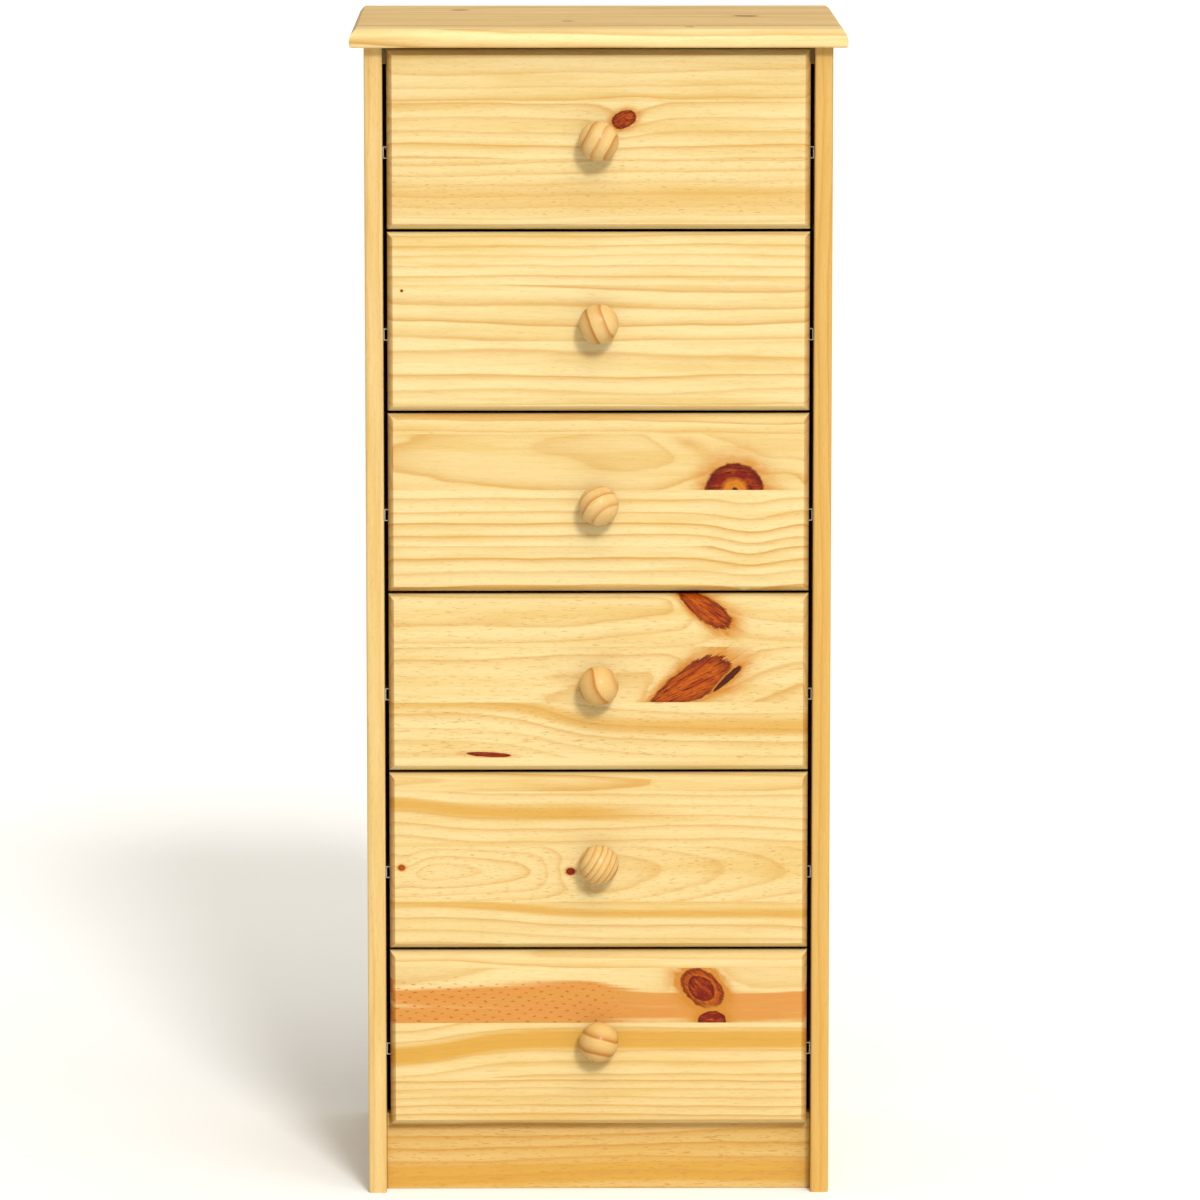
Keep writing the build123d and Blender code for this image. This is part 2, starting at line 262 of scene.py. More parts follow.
@dataclass(frozen=True)
class Palette:
    """Colours of lacquered pine, as linear reflectance. Those of end grain and fibres multiply the rest."""

    cream: Colour = (0.640, 0.520, 0.262)
    tan: Colour = (0.585, 0.432, 0.170)
    amber: Colour = (0.510, 0.282, 0.050)
    ring: Colour = (0.472, 0.246, 0.044)
    red: Colour = (0.490, 0.190, 0.030)
    fleck: Colour = (0.400, 0.190, 0.040)
    dark: Colour = (0.035, 0.008, 0.002)
    knot_rim: Colour = (0.075, 0.004, 0.001)
    knot_body: Colour = (0.165, 0.007, 0.001)
    knot_glow: Colour = (0.400, 0.078, 0.002)
    knot_heart: Colour = (0.470, 0.150, 0.010)
    halo: Colour = (0.430, 0.170, 0.020)
    end_grain: Colour = (0.780, 0.600, 0.380)
    fibre_dark: Colour = (0.84, 0.80, 0.72)
    fibre_light: Colour = (1.09, 1.11, 1.15)


@dataclass(frozen=True)
class Stave:
    """One strip of an edge-glued board, and where it lay in its log. Lengths are in millimetres.

    Attributes:
        pith: Distance of the log's centre from the stave's centre line, across the board.
        depth: Distance of the log's centre behind the face.
        spacing: Width of one year's ring.
        slope: How much the log's centre comes nearer or goes deeper, per length of board.
        wave: Size of the slow wander of the grain.
        tone: Share of amber heartwood colour.
        contrast: Strength of the ring lines.
        redness: Share of reddish heartwood colour.
        bend: Place along the board where the grain steps sideways, the step, and half its length.
        band: Centre and half width of an amber band, from the stave's centre line.
        band_strength: How amber the band is.
        band_end: Place along the board where the band fades out.
        flecks: How many short dark dashes there are.
        seed: Number that sets the random detail.
    """

    pith: float
    depth: float
    spacing: float
    slope: float = 0.0
    wave: float = 5.0
    tone: float = 0.1
    contrast: float = 0.6
    redness: float = 0.0
    bend: tuple[float, float, float] = (0.0, 0.0, 60.0)
    band: tuple[float, float] = (0.0, 10.0)
    band_strength: float = 0.0
    band_end: float = 1000.0
    flecks: float = 0.2
    seed: float = 1.0


@dataclass(frozen=True)
class Knot:
    """One knot. Lengths are in millimetres, from the board's centre, along and across the grain.

    Attributes:
        along: Place along the grain.
        across: Place across the grain.
        half_long: Half of its length.
        half_high: Half of its height.
        tilt: Angle of its long axis, in degrees.
        stave: Index of the only stave that it is in, or -1 for any.
        heart: Share of the knot that its orange centre takes up.
        swell: How far the year rings bulge round it.
        reach: How far out the bulge goes, in knot radii.
        glow: Share of orange in its body.
        taper: How much fatter it is at the far end of its long axis than in the middle.
        halo: Strength of the amber stain round it.
        ragged: Roughness of its outline.
        fringe: Length of the torn fibres at the ends of its long axis.
        buried: Whether it lies under the face, where it only bends the rings.
    """

    along: float
    across: float
    half_long: float
    half_high: float
    tilt: float = 0.0
    stave: int = -1
    heart: float = 0.0
    swell: float = 9.0
    reach: float = 1.9
    glow: float = 0.2
    taper: float = 0.0
    halo: float = 0.6
    ragged: float = 0.3
    fringe: float = 0.1
    buried: bool = False


@dataclass(frozen=True)
class FleckLattice:
    """Short dashes on a slanted lattice in one stave. Lengths are in millimetres.

    Attributes:
        stave: Index of the stave.
        step_along: First step of the lattice, along and across the grain.
        step_across: Second step of the lattice.
        half_long: Half of a dash's length.
        half_high: Half of a dash's height.
        stray: How far the dashes stray from the lattice.
        drift_scale: How quickly the straying changes, per metre.
        fade: Places along the grain between which the dashes come in.
        ceiling: Places across the grain between which they come in.
    """

    stave: int
    step_along: tuple[float, float] = (9.6, -3.0)
    step_across: tuple[float, float] = (3.1, -8.0)
    half_long: float = 2.3
    half_high: float = 0.75
    stray: float = 10.0
    drift_scale: float = 48.0
    fade: tuple[float, float] = (40.0, -10.0)
    ceiling: tuple[float, float] = (62.0, 52.0)

    def mask(self, graph: Graph, along: Socket, across: Socket, index: Socket) -> Socket:
        """Strength of the dashes.

        The point is written as a sum of the two steps. The whole parts of the two factors name the
        nearest dash, and the rest, turned back into lengths, is the distance from it.

        Args:
            graph: Tree to add to.
            along: Place along the grain from the board's centre, in metres.
            across: Place across the grain from the board's centre, in metres.
            index: Number of the stave.

        Returns:
            A socket from 0 to 1.
        """
        spot = graph.vector(graph.mul(along, self.drift_scale), graph.mul(across, self.drift_scale), 0.0)
        drift = graph.noises(spot)
        along = graph.add(along, graph.mul(drift[0], self.stray * MM))
        across = graph.add(across, graph.mul(drift[1], self.stray * MM))
        steps = np.array([self.step_along, self.step_across]).T * MM
        turned = np.linalg.inv(steps)
        rest = []
        for row in turned:
            factor = graph.add(graph.mul(along, float(row[0])), graph.mul(across, float(row[1])))
            rest.append(graph.sub(graph.math("FRACT", factor), 0.5))
        offset = [
            graph.add(graph.mul(rest[0], float(row[0])), graph.mul(rest[1], float(row[1])))
            for row in steps
        ]
        away = graph.length(
            graph.mul(offset[0], 1 / (self.half_long * MM)), graph.mul(offset[1], 1 / (self.half_high * MM))
        )
        inside = graph.math("COMPARE", index, float(self.stave), 0.5)
        faded = graph.step(along, self.fade[0] * MM, self.fade[1] * MM)
        under = graph.step(across, self.ceiling[0] * MM, self.ceiling[1] * MM)
        return graph.mul(graph.step(away, 1.2, 0.5), inside, faded, under)


FIGURE_INPUTS = (
    "Along", "Across", "Depth", "Pith Across", "Pith Depth", "Spacing", "Slope", "Wave", "Seed",
    "Tone", "Contrast", "Redness", "Band Across", "Band Half", "Band Strength", "Flecks", "Swell",
    "Bend Place", "Bend Step", "Bend Length", "Band End",
)
YEAR_PROFILE = (
    (0.0, 0.66), (0.05, 0.18), (0.13, 0.0), (0.44, 0.04), (0.66, 0.24), (0.84, 0.62), (0.93, 1.0),
)
KNOT_YEAR_PROFILE = ((0.0, 0.35), (0.15, 0.0), (0.6, 0.05), (0.9, 0.45), (1.0, 0.35))


class Scale(Enum):
    """How quickly a part of the figure changes along and across the grain, per metre."""

    WANDER = (3.2, 16.0)
    RIPPLE = (22.0, 90.0)
    STREAKS = (5.0, 75.0)
    CLOUDS = (2.6, 26.0)
    FIBRES = (24.0, 700.0)
    PORES = (40.0, 1300.0)
    SPECKS = (120.0, 1050.0)


class PineFigure:
    """Node group that turns a place in a log into colour, roughness and height of lacquered pine."""

    def __init__(self, palette: Palette, name: str) -> None:
        """Keep the colours and the group's name."""
        self.palette = palette
        self.name = name

    def group(self) -> bpy.types.NodeTree:
        """The group, made on the first call.

        The ring number is the distance from the log's centre, with a slow wander and the swell of
        the knots added, over the ring width. Its fraction runs from the pale early wood to the dark
        late wood, and its whole part picks how bold that year's line is.

        Returns:
            The node group.
        """
        if self.name in bpy.data.node_groups:
            return bpy.data.node_groups[self.name]
        tree = bpy.data.node_groups.new(self.name, "ShaderNodeTree")
        for name in FIGURE_INPUTS:
            tree.interface.new_socket(name=name, in_out="INPUT", socket_type="NodeSocketFloat")
        for name, kind in (("Colour", "Color"), ("Roughness", "Float"), ("Height", "Float")):
            tree.interface.new_socket(name=name, in_out="OUTPUT", socket_type="NodeSocket" + kind)
        graph = Graph(tree)
        entry = tree.nodes.new("NodeGroupInput")
        given = {name: entry.outputs[name] for name in FIGURE_INPUTS}
        wander, late = self.rings(graph, given)
        colour = self.colour(graph, given, wander, late)
        pores = graph.noise(self.stretched(graph, given, Scale.PORES), 2.0, 0.6)
        exit_node = tree.nodes.new("NodeGroupOutput")
        graph.feed(exit_node.inputs["Colour"], colour)
        roughness = graph.add(0.36, graph.mul(late, -0.05), graph.mul(pores, 0.10))
        graph.feed(exit_node.inputs["Roughness"], roughness)
        height = graph.add(graph.mul(late, given["Contrast"], 0.35), graph.mul(pores, 0.30))
        graph.feed(exit_node.inputs["Height"], height)
        return tree

    def stretched(self, graph: Graph, given: dict[str, Socket], scale: Scale) -> Socket:
        """The place in the log, scaled along and across the grain and shifted by the seed.

        Args:
            graph: Tree to add to.
            given: The group's inputs by name.
            scale: Scales along and across the grain.

        Returns:
            A vector.
        """
        shift = given["Seed"]
        along, across = scale.value
        return graph.vector(
            graph.mul(graph.add(given["Along"], graph.mul(shift, 3.7)), along),
            graph.mul(graph.add(given["Across"], graph.mul(shift, 1.3)), across),
            graph.mul(graph.add(given["Depth"], graph.mul(shift, 2.1)), across),
        )

    def rings(self, graph: Graph, given: dict[str, Socket]) -> tuple[Socket, Socket]:
        """Year rings of a log whose centre line wanders.

        The bend is half of its step times the hyperbolic tangent of the distance from its place over
        its length. The radius is the length of the place across and the depth, less the log's centre.

        Args:
            graph: Tree to add to.
            given: The group's inputs by name.

        Returns:
            Wandering place across the board from the log's centre, and late wood from 0 to 1.
        """
        slow = graph.noises(self.stretched(graph, given, Scale.WANDER), 1.5)
        fine = graph.noise(self.stretched(graph, given, Scale.RIPPLE), 2.0)
        turn = graph.math("DIVIDE", graph.sub(given["Along"], given["Bend Place"]), given["Bend Length"])
        bend = graph.mul(graph.math("TANH", turn), given["Bend Step"], 0.5)
        across = graph.sub(given["Across"], given["Pith Across"])
        across = graph.add(across, graph.mul(slow[0], given["Wave"], 1.6))
        across = graph.sub(across, bend)
        sunk = graph.add(given["Depth"], given["Pith Depth"], graph.mul(given["Slope"], given["Along"]))
        sunk = graph.add(sunk, graph.mul(slow[1], given["Wave"], 1.6))
        ripple = graph.mul(graph.sub(fine, 0.5), 2.4 * MM)
        radius = graph.add(graph.length(across, sunk), given["Swell"], ripple)
        count = graph.add(graph.math("DIVIDE", radius, given["Spacing"]), graph.mul(slow[2], 1.5))
        year = graph.math("FLOOR", count)
        bold = graph.random(graph.add(year, graph.mul(given["Seed"], 17.0)))[0]
        profile = graph.ramp(graph.math("FRACT", count), YEAR_PROFILE)
        return across, graph.mul(profile, graph.scaled(bold, 0.42, 1.0))

    def colour(self, graph: Graph, given: dict[str, Socket], wander: Socket, late: Socket) -> Socket:
        """Base colour: cream and tan streaks, amber and red tones, ring lines, fibres and flecks.

        Args:
            graph: Tree to add to.
            given: The group's inputs by name.
            wander: Wandering place across the board from the log's centre.
            late: Late wood from 0 to 1.

        Returns:
            The colour.
        """
        tints = self.palette
        streak = graph.noise(self.stretched(graph, given, Scale.STREAKS), 3.0, 0.55)
        cloud = graph.noises(self.stretched(graph, given, Scale.CLOUDS), 2.0)
        ground = graph.add(streak, graph.mul(cloud[0], 0.5))
        ground = graph.mix(graph.step(ground, 0.40, 0.78), tints.cream, tints.tan)
        place = graph.add(wander, given["Pith Across"], graph.mul(given["Band Across"], -1.0))
        place = graph.math("DIVIDE", place, given["Band Half"])
        zone = graph.bell(graph.mul(place, place))
        past_end = graph.step(graph.sub(given["Along"], given["Band End"]), -60 * MM, 60 * MM)
        band = graph.mul(zone, given["Band Strength"], graph.sub(1.0, past_end))
        amber = graph.add(given["Tone"], band, graph.mul(cloud[2], 0.25))
        ground = graph.mix(amber, ground, tints.amber)
        patchy = graph.step(graph.add(cloud[1], graph.mul(graph.sub(streak, 0.5), 0.6)), -0.22, -0.02)
        crisp = graph.step(graph.add(zone, graph.mul(graph.sub(streak, 0.5), 1.6)), 0.28, 0.52)
        ground = graph.mix(graph.mul(given["Redness"], patchy, crisp), ground, tints.red)
        lined = graph.mix(graph.mul(late, given["Contrast"]), ground, tints.ring)
        fibre = graph.noise(self.stretched(graph, given, Scale.FIBRES), 3.0, 0.65)
        fibre_tint = graph.mix(fibre, tints.fibre_dark, tints.fibre_light)
        lined = graph.mix(0.85, lined, fibre_tint, "MULTIPLY")
        speck = graph.noise(self.stretched(graph, given, Scale.SPECKS), 1.0)
        dash = graph.mul(graph.step(speck, 0.60, 0.72), given["Flecks"])
        return graph.mix(dash, lined, tints.fleck)


ATTRIBUTES = {
    "stave_pith": ("Pith Across", "Pith Depth", "Spacing"),
    "stave_run": ("Slope", "Wave", "Seed"),
    "stave_tone": ("Tone", "Contrast", "Redness"),
    "stave_band": ("Band Across", "Band Half", "Band Strength"),
    "stave_bend": ("Bend Place", "Bend Step", "Bend Length"),
    "stave_mark": ("Index", "Flecks", "Band End"),
}


@dataclass(frozen=True)
class SetStaves:
    """Staves chosen one by one, from the low edge up, whose values the mesh carries on its faces."""

    staves: tuple[Stave, ...]

    def values(self, centres: np.ndarray) -> dict[str, np.ndarray]:
        """Attribute vectors of each stave.

        Args:
            centres: Place of each stave's centre line across the board, in metres.

        Returns:
            For each attribute name, one row of three numbers for each stave.
        """
        rows: dict[str, list[tuple[float, float, float]]] = {name: [] for name in ATTRIBUTES}
        for index, (stave, centre) in enumerate(zip(self.staves, centres)):
            rows["stave_pith"].append((centre + stave.pith * MM, stave.depth * MM, stave.spacing * MM))
            rows["stave_run"].append((stave.slope, stave.wave * MM, stave.seed))
            rows["stave_tone"].append((stave.tone, stave.contrast, stave.redness))
            band_centre = centre + stave.band[0] * MM
            rows["stave_band"].append((band_centre, stave.band[1] * MM, stave.band_strength))
            rows["stave_bend"].append(tuple(length * MM for length in stave.bend))
            rows["stave_mark"].append((float(index), stave.flecks, stave.band_end * MM))
        return {name: np.array(values) for name, values in rows.items()}

    def sockets(self, graph: Graph, across: Socket) -> dict[str, Value]:
        """The figure's inputs, read from the mesh.

        Args:
            graph: Tree to add to.
            across: Place across the grain, which the mesh makes needless here.

        Returns:
            Sockets by the names of the figure's inputs.
        """
        read: dict[str, Value] = {}
        for name, inputs in ATTRIBUTES.items():
            node = graph.node("Attribute", attribute_name=name)
            read.update(zip(inputs, graph.parts(node.outputs["Vector"])))
        return read


@dataclass(frozen=True)
class RolledStaves:
    """Staves of equal width whose values are drawn at random. Lengths are in millimetres.

    Attributes:
        seed: Number that sets the draw.
        width: Width of a stave.
        first: Place of the first stave's low edge.
        tone: Range of the share of amber.
        contrast: Range of the strength of the ring lines.
        spacing: Range of the width of a year's ring.
        wave: Size of the slow wander of the grain.
        flecks: How many short dark dashes there are.
        first_extra: How much more amber the first stave is.
    """

    seed: float
    width: float = 56.0
    first: float = 0.0
    tone: tuple[float, float] = (0.0, 0.30)
    contrast: tuple[float, float] = (0.35, 0.75)
    spacing: tuple[float, float] = (4.5, 12.0)
    wave: float = 6.0
    flecks: float = 0.25
    first_extra: float = 0.0

    def sockets(self, graph: Graph, across: Socket) -> dict[str, Value]:
        """The figure's inputs, drawn from the number of the stave that a point is in.

        Args:
            graph: Tree to add to.
            across: Place across the grain, in metres.

        Returns:
            Sockets and numbers by the names of the figure's inputs.
        """
        place = graph.mul(graph.sub(across, self.first * MM), 1 / (self.width * MM))
        index = graph.math("FLOOR", place)
        centre = graph.add(graph.mul(graph.add(index, 0.5), self.width * MM), self.first * MM)
        one = graph.random(graph.add(index, self.seed))
        two = graph.random(graph.add(index, self.seed + 31.7))
        return {
            "Pith Across": graph.add(centre, graph.scaled(one[0], -70 * MM, 70 * MM)),
            "Pith Depth": graph.scaled(one[1], 18 * MM, 75 * MM),
            "Spacing": graph.scaled(one[2], self.spacing[0] * MM, self.spacing[1] * MM),
            "Slope": graph.scaled(two[0], -0.035, 0.035),
            "Wave": self.wave * MM,
            "Seed": graph.add(graph.mul(index, 1.37), self.seed),
            "Tone": graph.add(
                graph.scaled(two[1], *self.tone),
                graph.mul(graph.math("COMPARE", index, 0.0, 0.5), self.first_extra),
            ),
            "Contrast": graph.scaled(two[2], *self.contrast),
            "Redness": 0.0,
            "Band Across": graph.add(centre, graph.scaled(two[0], -20 * MM, 20 * MM)),
            "Band Half": 9 * MM,
            "Band Strength": graph.step(one[0], 0.62, 0.95),
            "Bend Place": graph.scaled(two[1], -0.3, 0.3),
            "Bend Step": graph.scaled(two[2], -9 * MM, 9 * MM),
            "Bend Length": 90 * MM,
            "Band End": 1.0,
            "Index": index,
            "Flecks": self.flecks,
        }


DASH_SHARE = 0.85
END_GRAIN_SHARE = 0.85
KNOT_HEIGHT = 0.25
GRAIN_DEPTH = 0.25 * MM


@dataclass(frozen=True)
class PineFinish:
    """Satin-lacquered pine on one board.

    Attributes:
        name: Name of the material.
        grain: How the board lies.
        centre: Middle of the board's outer face, in metres.
        staves: Where the values of its staves come from.
        knots: Its knots.
        lattice: Dashes on a lattice, if it has them.
        palette: Colours of the wood.
    """

    name: str
    grain: Grain
    centre: tuple[float, float, float]
    staves: SetStaves | RolledStaves
    knots: tuple[Knot, ...] = ()
    lattice: FleckLattice | None = None
    palette: Palette = field(default_factory=Palette)

    def material(self) -> bpy.types.Material:
        """The whole finish: stave values, knots, figure, end grain, roughness and lacquer.

        Returns:
            The material.
        """
        made, graph, shader = new_material(self.name)
        along_axis, across_axis, depth_axis, sign = self.grain.value
        place = graph.place()
        along = graph.sub(place[along_axis], self.centre[along_axis])
        across = place[across_axis]
        depth = graph.mul(graph.sub(place[depth_axis], self.centre[depth_axis]), sign)
        inputs = self.staves.sockets(graph, across)
        centred = graph.sub(across, self.centre[across_axis])
        marks = [KnotMark(graph, knot, along, centred, inputs["Index"]) for knot in self.knots]
        swell: Value = graph.add(*(mark.swell for mark in marks)) if marks else 0.0
        tree = PineFigure(self.palette, f"figure_{self.grain.name.lower()}").group()
        figure = graph.node("Group", node_tree=tree)
        inputs.update({"Along": along, "Across": across, "Depth": depth, "Swell": swell})
        for name in FIGURE_INPUTS:
            graph.feed(figure.inputs[name], inputs[name])
        colour = figure.outputs["Colour"]
        height = figure.outputs["Height"]
        if self.lattice:
            dashes = self.lattice.mask(graph, along, centred, inputs["Index"])
            colour = graph.mix(graph.mul(dashes, DASH_SHARE), colour, self.palette.knot_glow)
        for mark in marks:
            colour = mark.paint(graph, colour, self.palette)
            height = graph.add(height, graph.mul(mark.inside, 0.0 if mark.knot.buried else KNOT_HEIGHT))
        facing = graph.parts(graph.node("NewGeometry").outputs["Normal"])[along_axis]
        cut_end = graph.step(graph.math("ABSOLUTE", facing), 0.45, 0.95)
        shown = graph.mul(cut_end, END_GRAIN_SHARE)
        colour = graph.mix(shown, colour, self.palette.end_grain, "MULTIPLY")
        graph.feed(shader.inputs["Base Color"], colour)
        graph.feed(shader.inputs["Roughness"], figure.outputs["Roughness"])
        lacquer(graph, shader, height, GRAIN_DEPTH)
        return made


class KnotMark:
    """Nodes of one knot in one board."""

    def __init__(self, graph: Graph, knot: Knot, along: Socket, across: Socket, index: Socket) -> None:
        """Work out how far a point is from the knot, in knot radii, and the swell of the rings.

        The distance is that of an ellipse, turned by the tilt, with a slow noise on its outline.

        Args:
            graph: Tree to add to.
            knot: Its sizes.
            along: Place along the grain from the board's centre, in metres.
            across: Place across the grain from the board's centre, in metres.
            index: Number of the stave.
        """
        turn = math.radians(knot.tilt)
        aside = graph.sub(along, knot.along * MM)
        above = graph.sub(across, knot.across * MM)
        ahead = graph.add(graph.mul(aside, math.cos(turn)), graph.mul(above, math.sin(turn)))
        beside = graph.sub(graph.mul(above, math.cos(turn)), graph.mul(aside, math.sin(turn)))
        ahead = graph.mul(ahead, 1 / (knot.half_long * MM))
        beside = graph.mul(beside, 1 / (knot.half_high * MM))
        if knot.taper:
            girth = graph.math("MAXIMUM", graph.add(1.0, graph.mul(ahead, knot.taper)), 0.2)
            beside = graph.math("DIVIDE", beside, girth)
        worn = graph.vector(graph.mul(aside, 110.0), graph.mul(above, 110.0), knot.along)
        rough = graph.noise(worn, 3.0, 0.6)
        wide = graph.vector(graph.mul(ahead, 1.3), graph.mul(beside, 3.2), knot.across)
        self.streaks = graph.noise(wide, 3.0, 0.6)
        narrow = graph.vector(graph.mul(ahead, 3.0), graph.mul(beside, 13.0), knot.along)
        self.fibres = graph.noise(narrow, 2.0, 0.6)
        fringe = graph.mul(graph.sub(self.fibres, 0.5), knot.fringe)
        ragged = graph.mul(graph.sub(rough, 0.5), knot.ragged)
        self.away = graph.add(graph.length(ahead, beside), ragged, fringe)
        self.knot = knot
        self.here: Value = 1.0
        if knot.stave >= 0:
            self.here = graph.math("COMPARE", index, float(knot.stave), 0.5)
        self.inside = graph.mul(graph.step(self.away, 1.05, 0.95), self.here)
        bulge = graph.bell(graph.mul(self.away, 1 / knot.reach))
        self.swell = graph.mul(bulge, knot.swell * MM, self.here)

    def paint(self, graph: Graph, colour: Socket, tints: Palette) -> Socket:
        """The board's colour with the knot over it: amber stain, body, its own rings, heart and pith.

        Args:
            graph: Tree to add to.
            colour: The board's colour.
            tints: Colours of the wood.

        Returns:
            The colour.
        """
        knot = self.knot
        if knot.buried:
            return colour
        reach = graph.bell(graph.mul(graph.math("MAXIMUM", graph.sub(self.away, 0.9), 0.0), 1.9))
        stain = graph.mul(reach, self.here, graph.scaled(self.streaks, 0.1, 1.7), knot.halo)
        colour = graph.mix(stain, colour, tints.halo)
        warm = graph.add(graph.mul(graph.sub(self.streaks, 0.5), 3.6), knot.glow * 1.4)
        body = graph.mix(warm, tints.knot_body, tints.knot_glow)
        years = graph.math("FRACT", graph.add(graph.mul(self.away, 6.0), graph.mul(self.streaks, 3.0)))
        lines = graph.ramp(years, KNOT_YEAR_PROFILE)
        fibre = graph.step(self.fibres, 0.52, 0.62)
        body = graph.mix(graph.add(graph.mul(lines, 0.6), graph.mul(fibre, 0.75)), body, tints.knot_rim)
        body = graph.mix(graph.mul(graph.step(self.away, 0.62, 1.0), 0.75), body, tints.knot_rim)
        if knot.glow < 0:
            body = graph.mix(graph.step(self.streaks, 0.30, 0.55), body, tints.dark)
        if knot.heart > 0:
            heart = graph.step(self.away, knot.heart * 1.5, knot.heart * 0.8)
            body = graph.mix(graph.mul(heart, graph.scaled(lines, 1.0, 0.55)), body, tints.knot_heart)
            body = graph.mix(graph.step(self.away, 0.15, 0.09), body, tints.dark)
        return graph.mix(self.inside, colour, body)


def new_material(name: str) -> tuple[bpy.types.Material, Graph, bpy.types.Node]:
    """An empty node material.

    Args:
        name: Its name.

    Returns:
        The material, its graph and its Principled shader.
    """
    made = bpy.data.materials.new(name)
    made.use_nodes = True
    graph = Graph(made.node_tree)
    return made, graph, made.node_tree.nodes["Principled BSDF"]


def emboss(graph: Graph, shader: bpy.types.Node, height: Socket, strength: float, distance: float) -> None:
    """Bump that follows a height.

    Args:
        graph: Tree to add to.
        shader: The Principled shader.
        height: Height of the surface, from 0 to 1.
        strength: Strength of the bump.
        distance: How far that height stands for, in metres.
    """
    bump = graph.node("Bump")
    bump.inputs["Strength"].default_value = strength
    bump.inputs["Distance"].default_value = distance
    graph.feed(bump.inputs["Height"], height)
    graph.feed(shader.inputs["Normal"], bump.outputs[0])


COAT_WEIGHT = 0.06
COAT_ROUGHNESS = 0.18
COAT_SPECULAR = 0.13
COAT_BUMP = 0.6


def lacquer(graph: Graph, shader: bpy.types.Node, height: Socket, distance: float) -> None:
    """A thin satin coat, and the bump of what lies under it.

    Args:
        graph: Tree to add to.
        shader: The Principled shader.
        height: Height of the wood's surface, from 0 to 1.
        distance: How far that height stands for, in metres.
    """
    shader.inputs["Coat Weight"].default_value = COAT_WEIGHT
    shader.inputs["Coat Roughness"].default_value = COAT_ROUGHNESS
    shader.inputs["Specular IOR Level"].default_value = COAT_SPECULAR
    emboss(graph, shader, height, COAT_BUMP, distance)


# ------------------------------------------------------------------------------ other finishes
@dataclass(frozen=True)
class HardboardFinish:
    """Brown pressed-fibre sheet with a screen pattern pressed into it."""

    name: str = "brown_hardboard"
    dark: Colour = (0.085, 0.045, 0.022)
    light: Colour = (0.190, 0.110, 0.055)
    screen: float = 1.6 * MM
    fibre_scale: float = 260.0
    cloud_scale: float = 14.0

    def material(self) -> bpy.types.Material:
        """Matted fibres in two browns. The screen's height is a product of two sine waves.

        Returns:
            The material.
        """
        made, graph, shader = new_material(self.name)
        x, y, z = graph.place()
        matted = graph.noise(graph.grown((x, y, z), self.fibre_scale), 4.0, 0.7)
        cloudy = graph.noise(graph.grown((x, y, z), self.cloud_scale), 3.0)
        share = graph.add(graph.mul(matted, 0.75), graph.mul(cloudy, 0.45))
        brown = graph.mix(graph.step(share, 0.38, 0.82), self.dark, self.light)
        graph.feed(shader.inputs["Base Color"], brown)
        graph.feed(shader.inputs["Roughness"], graph.scaled(matted, 0.50, 0.78))
        pitch = 2 * math.pi / self.screen
        waves = graph.mul(
            graph.math("SINE", graph.mul(x, pitch)), graph.math("SINE", graph.mul(graph.add(y, z), pitch))
        )
        emboss(graph, shader, graph.add(graph.mul(waves, 0.4), matted), 0.5, 0.12 * MM)
        return made


@dataclass(frozen=True)
class SteelFinish:
    """Zinc-plated steel with rolling marks along one axis and soft crystal patches."""

    name: str
    dark: Colour
    light: Colour
    rolled_axis: int = 1
    line_scales: tuple[float, float] = (30.0, 2600.0)
    patch_scale: float = 180.0
    roughness: tuple[float, float] = (0.28, 0.46)

    def material(self) -> bpy.types.Material:
        """Patches and fine lines mixed into colour, roughness and bump.

        Returns:
            The material.
        """
        made, graph, shader = new_material(self.name)
        place = graph.place()
        scales = [self.line_scales[axis != self.rolled_axis] for axis in range(3)]
        drawn = graph.vector(*(graph.mul(part, scale) for part, scale in zip(place, scales)))
        lines = graph.noise(drawn, 2.0)
        patches = graph.node("TexVoronoi", graph.grown(place, self.patch_scale))
        shade = graph.add(graph.mul(lines, 0.6), graph.mul(graph.parts(patches.outputs["Color"])[0], 0.4))
        graph.feed(shader.inputs["Base Color"], graph.mix(shade, self.dark, self.light))
        graph.feed(shader.inputs["Roughness"], graph.scaled(shade, *self.roughness))
        shader.inputs["Metallic"].default_value = 1.0
        emboss(graph, shader, lines, 0.3, 0.05 * MM)
        return made


@dataclass(frozen=True)
class BeechFinish:
    """Raw pinkish beech of the dowels, with short ray flecks."""

    name: str = "raw_beech"
    base: Colour = (0.520, 0.330, 0.190)
    ray: Colour = (0.330, 0.180, 0.095)
    ray_scale: float = 620.0
    cloud_scale: float = 60.0

    def material(self) -> bpy.types.Material:
        """Fine short flecks over slow clouds.

        Returns:
            The material.
        """
        made, graph, shader = new_material(self.name)
        place = graph.place()
        fine = graph.noise(graph.grown(place, self.ray_scale), 2.0)
        slow = graph.noise(graph.grown(place, self.cloud_scale), 2.0)
        share = graph.add(graph.mul(graph.step(fine, 0.55, 0.70), 0.6), graph.mul(slow, 0.3))
        graph.feed(shader.inputs["Base Color"], graph.mix(share, self.base, self.ray))
        graph.feed(shader.inputs["Roughness"], graph.scaled(fine, 0.55, 0.75))
        return made


# ------------------------------------------------------------------------------ meshes
SHARP_EDGE = math.radians(24)


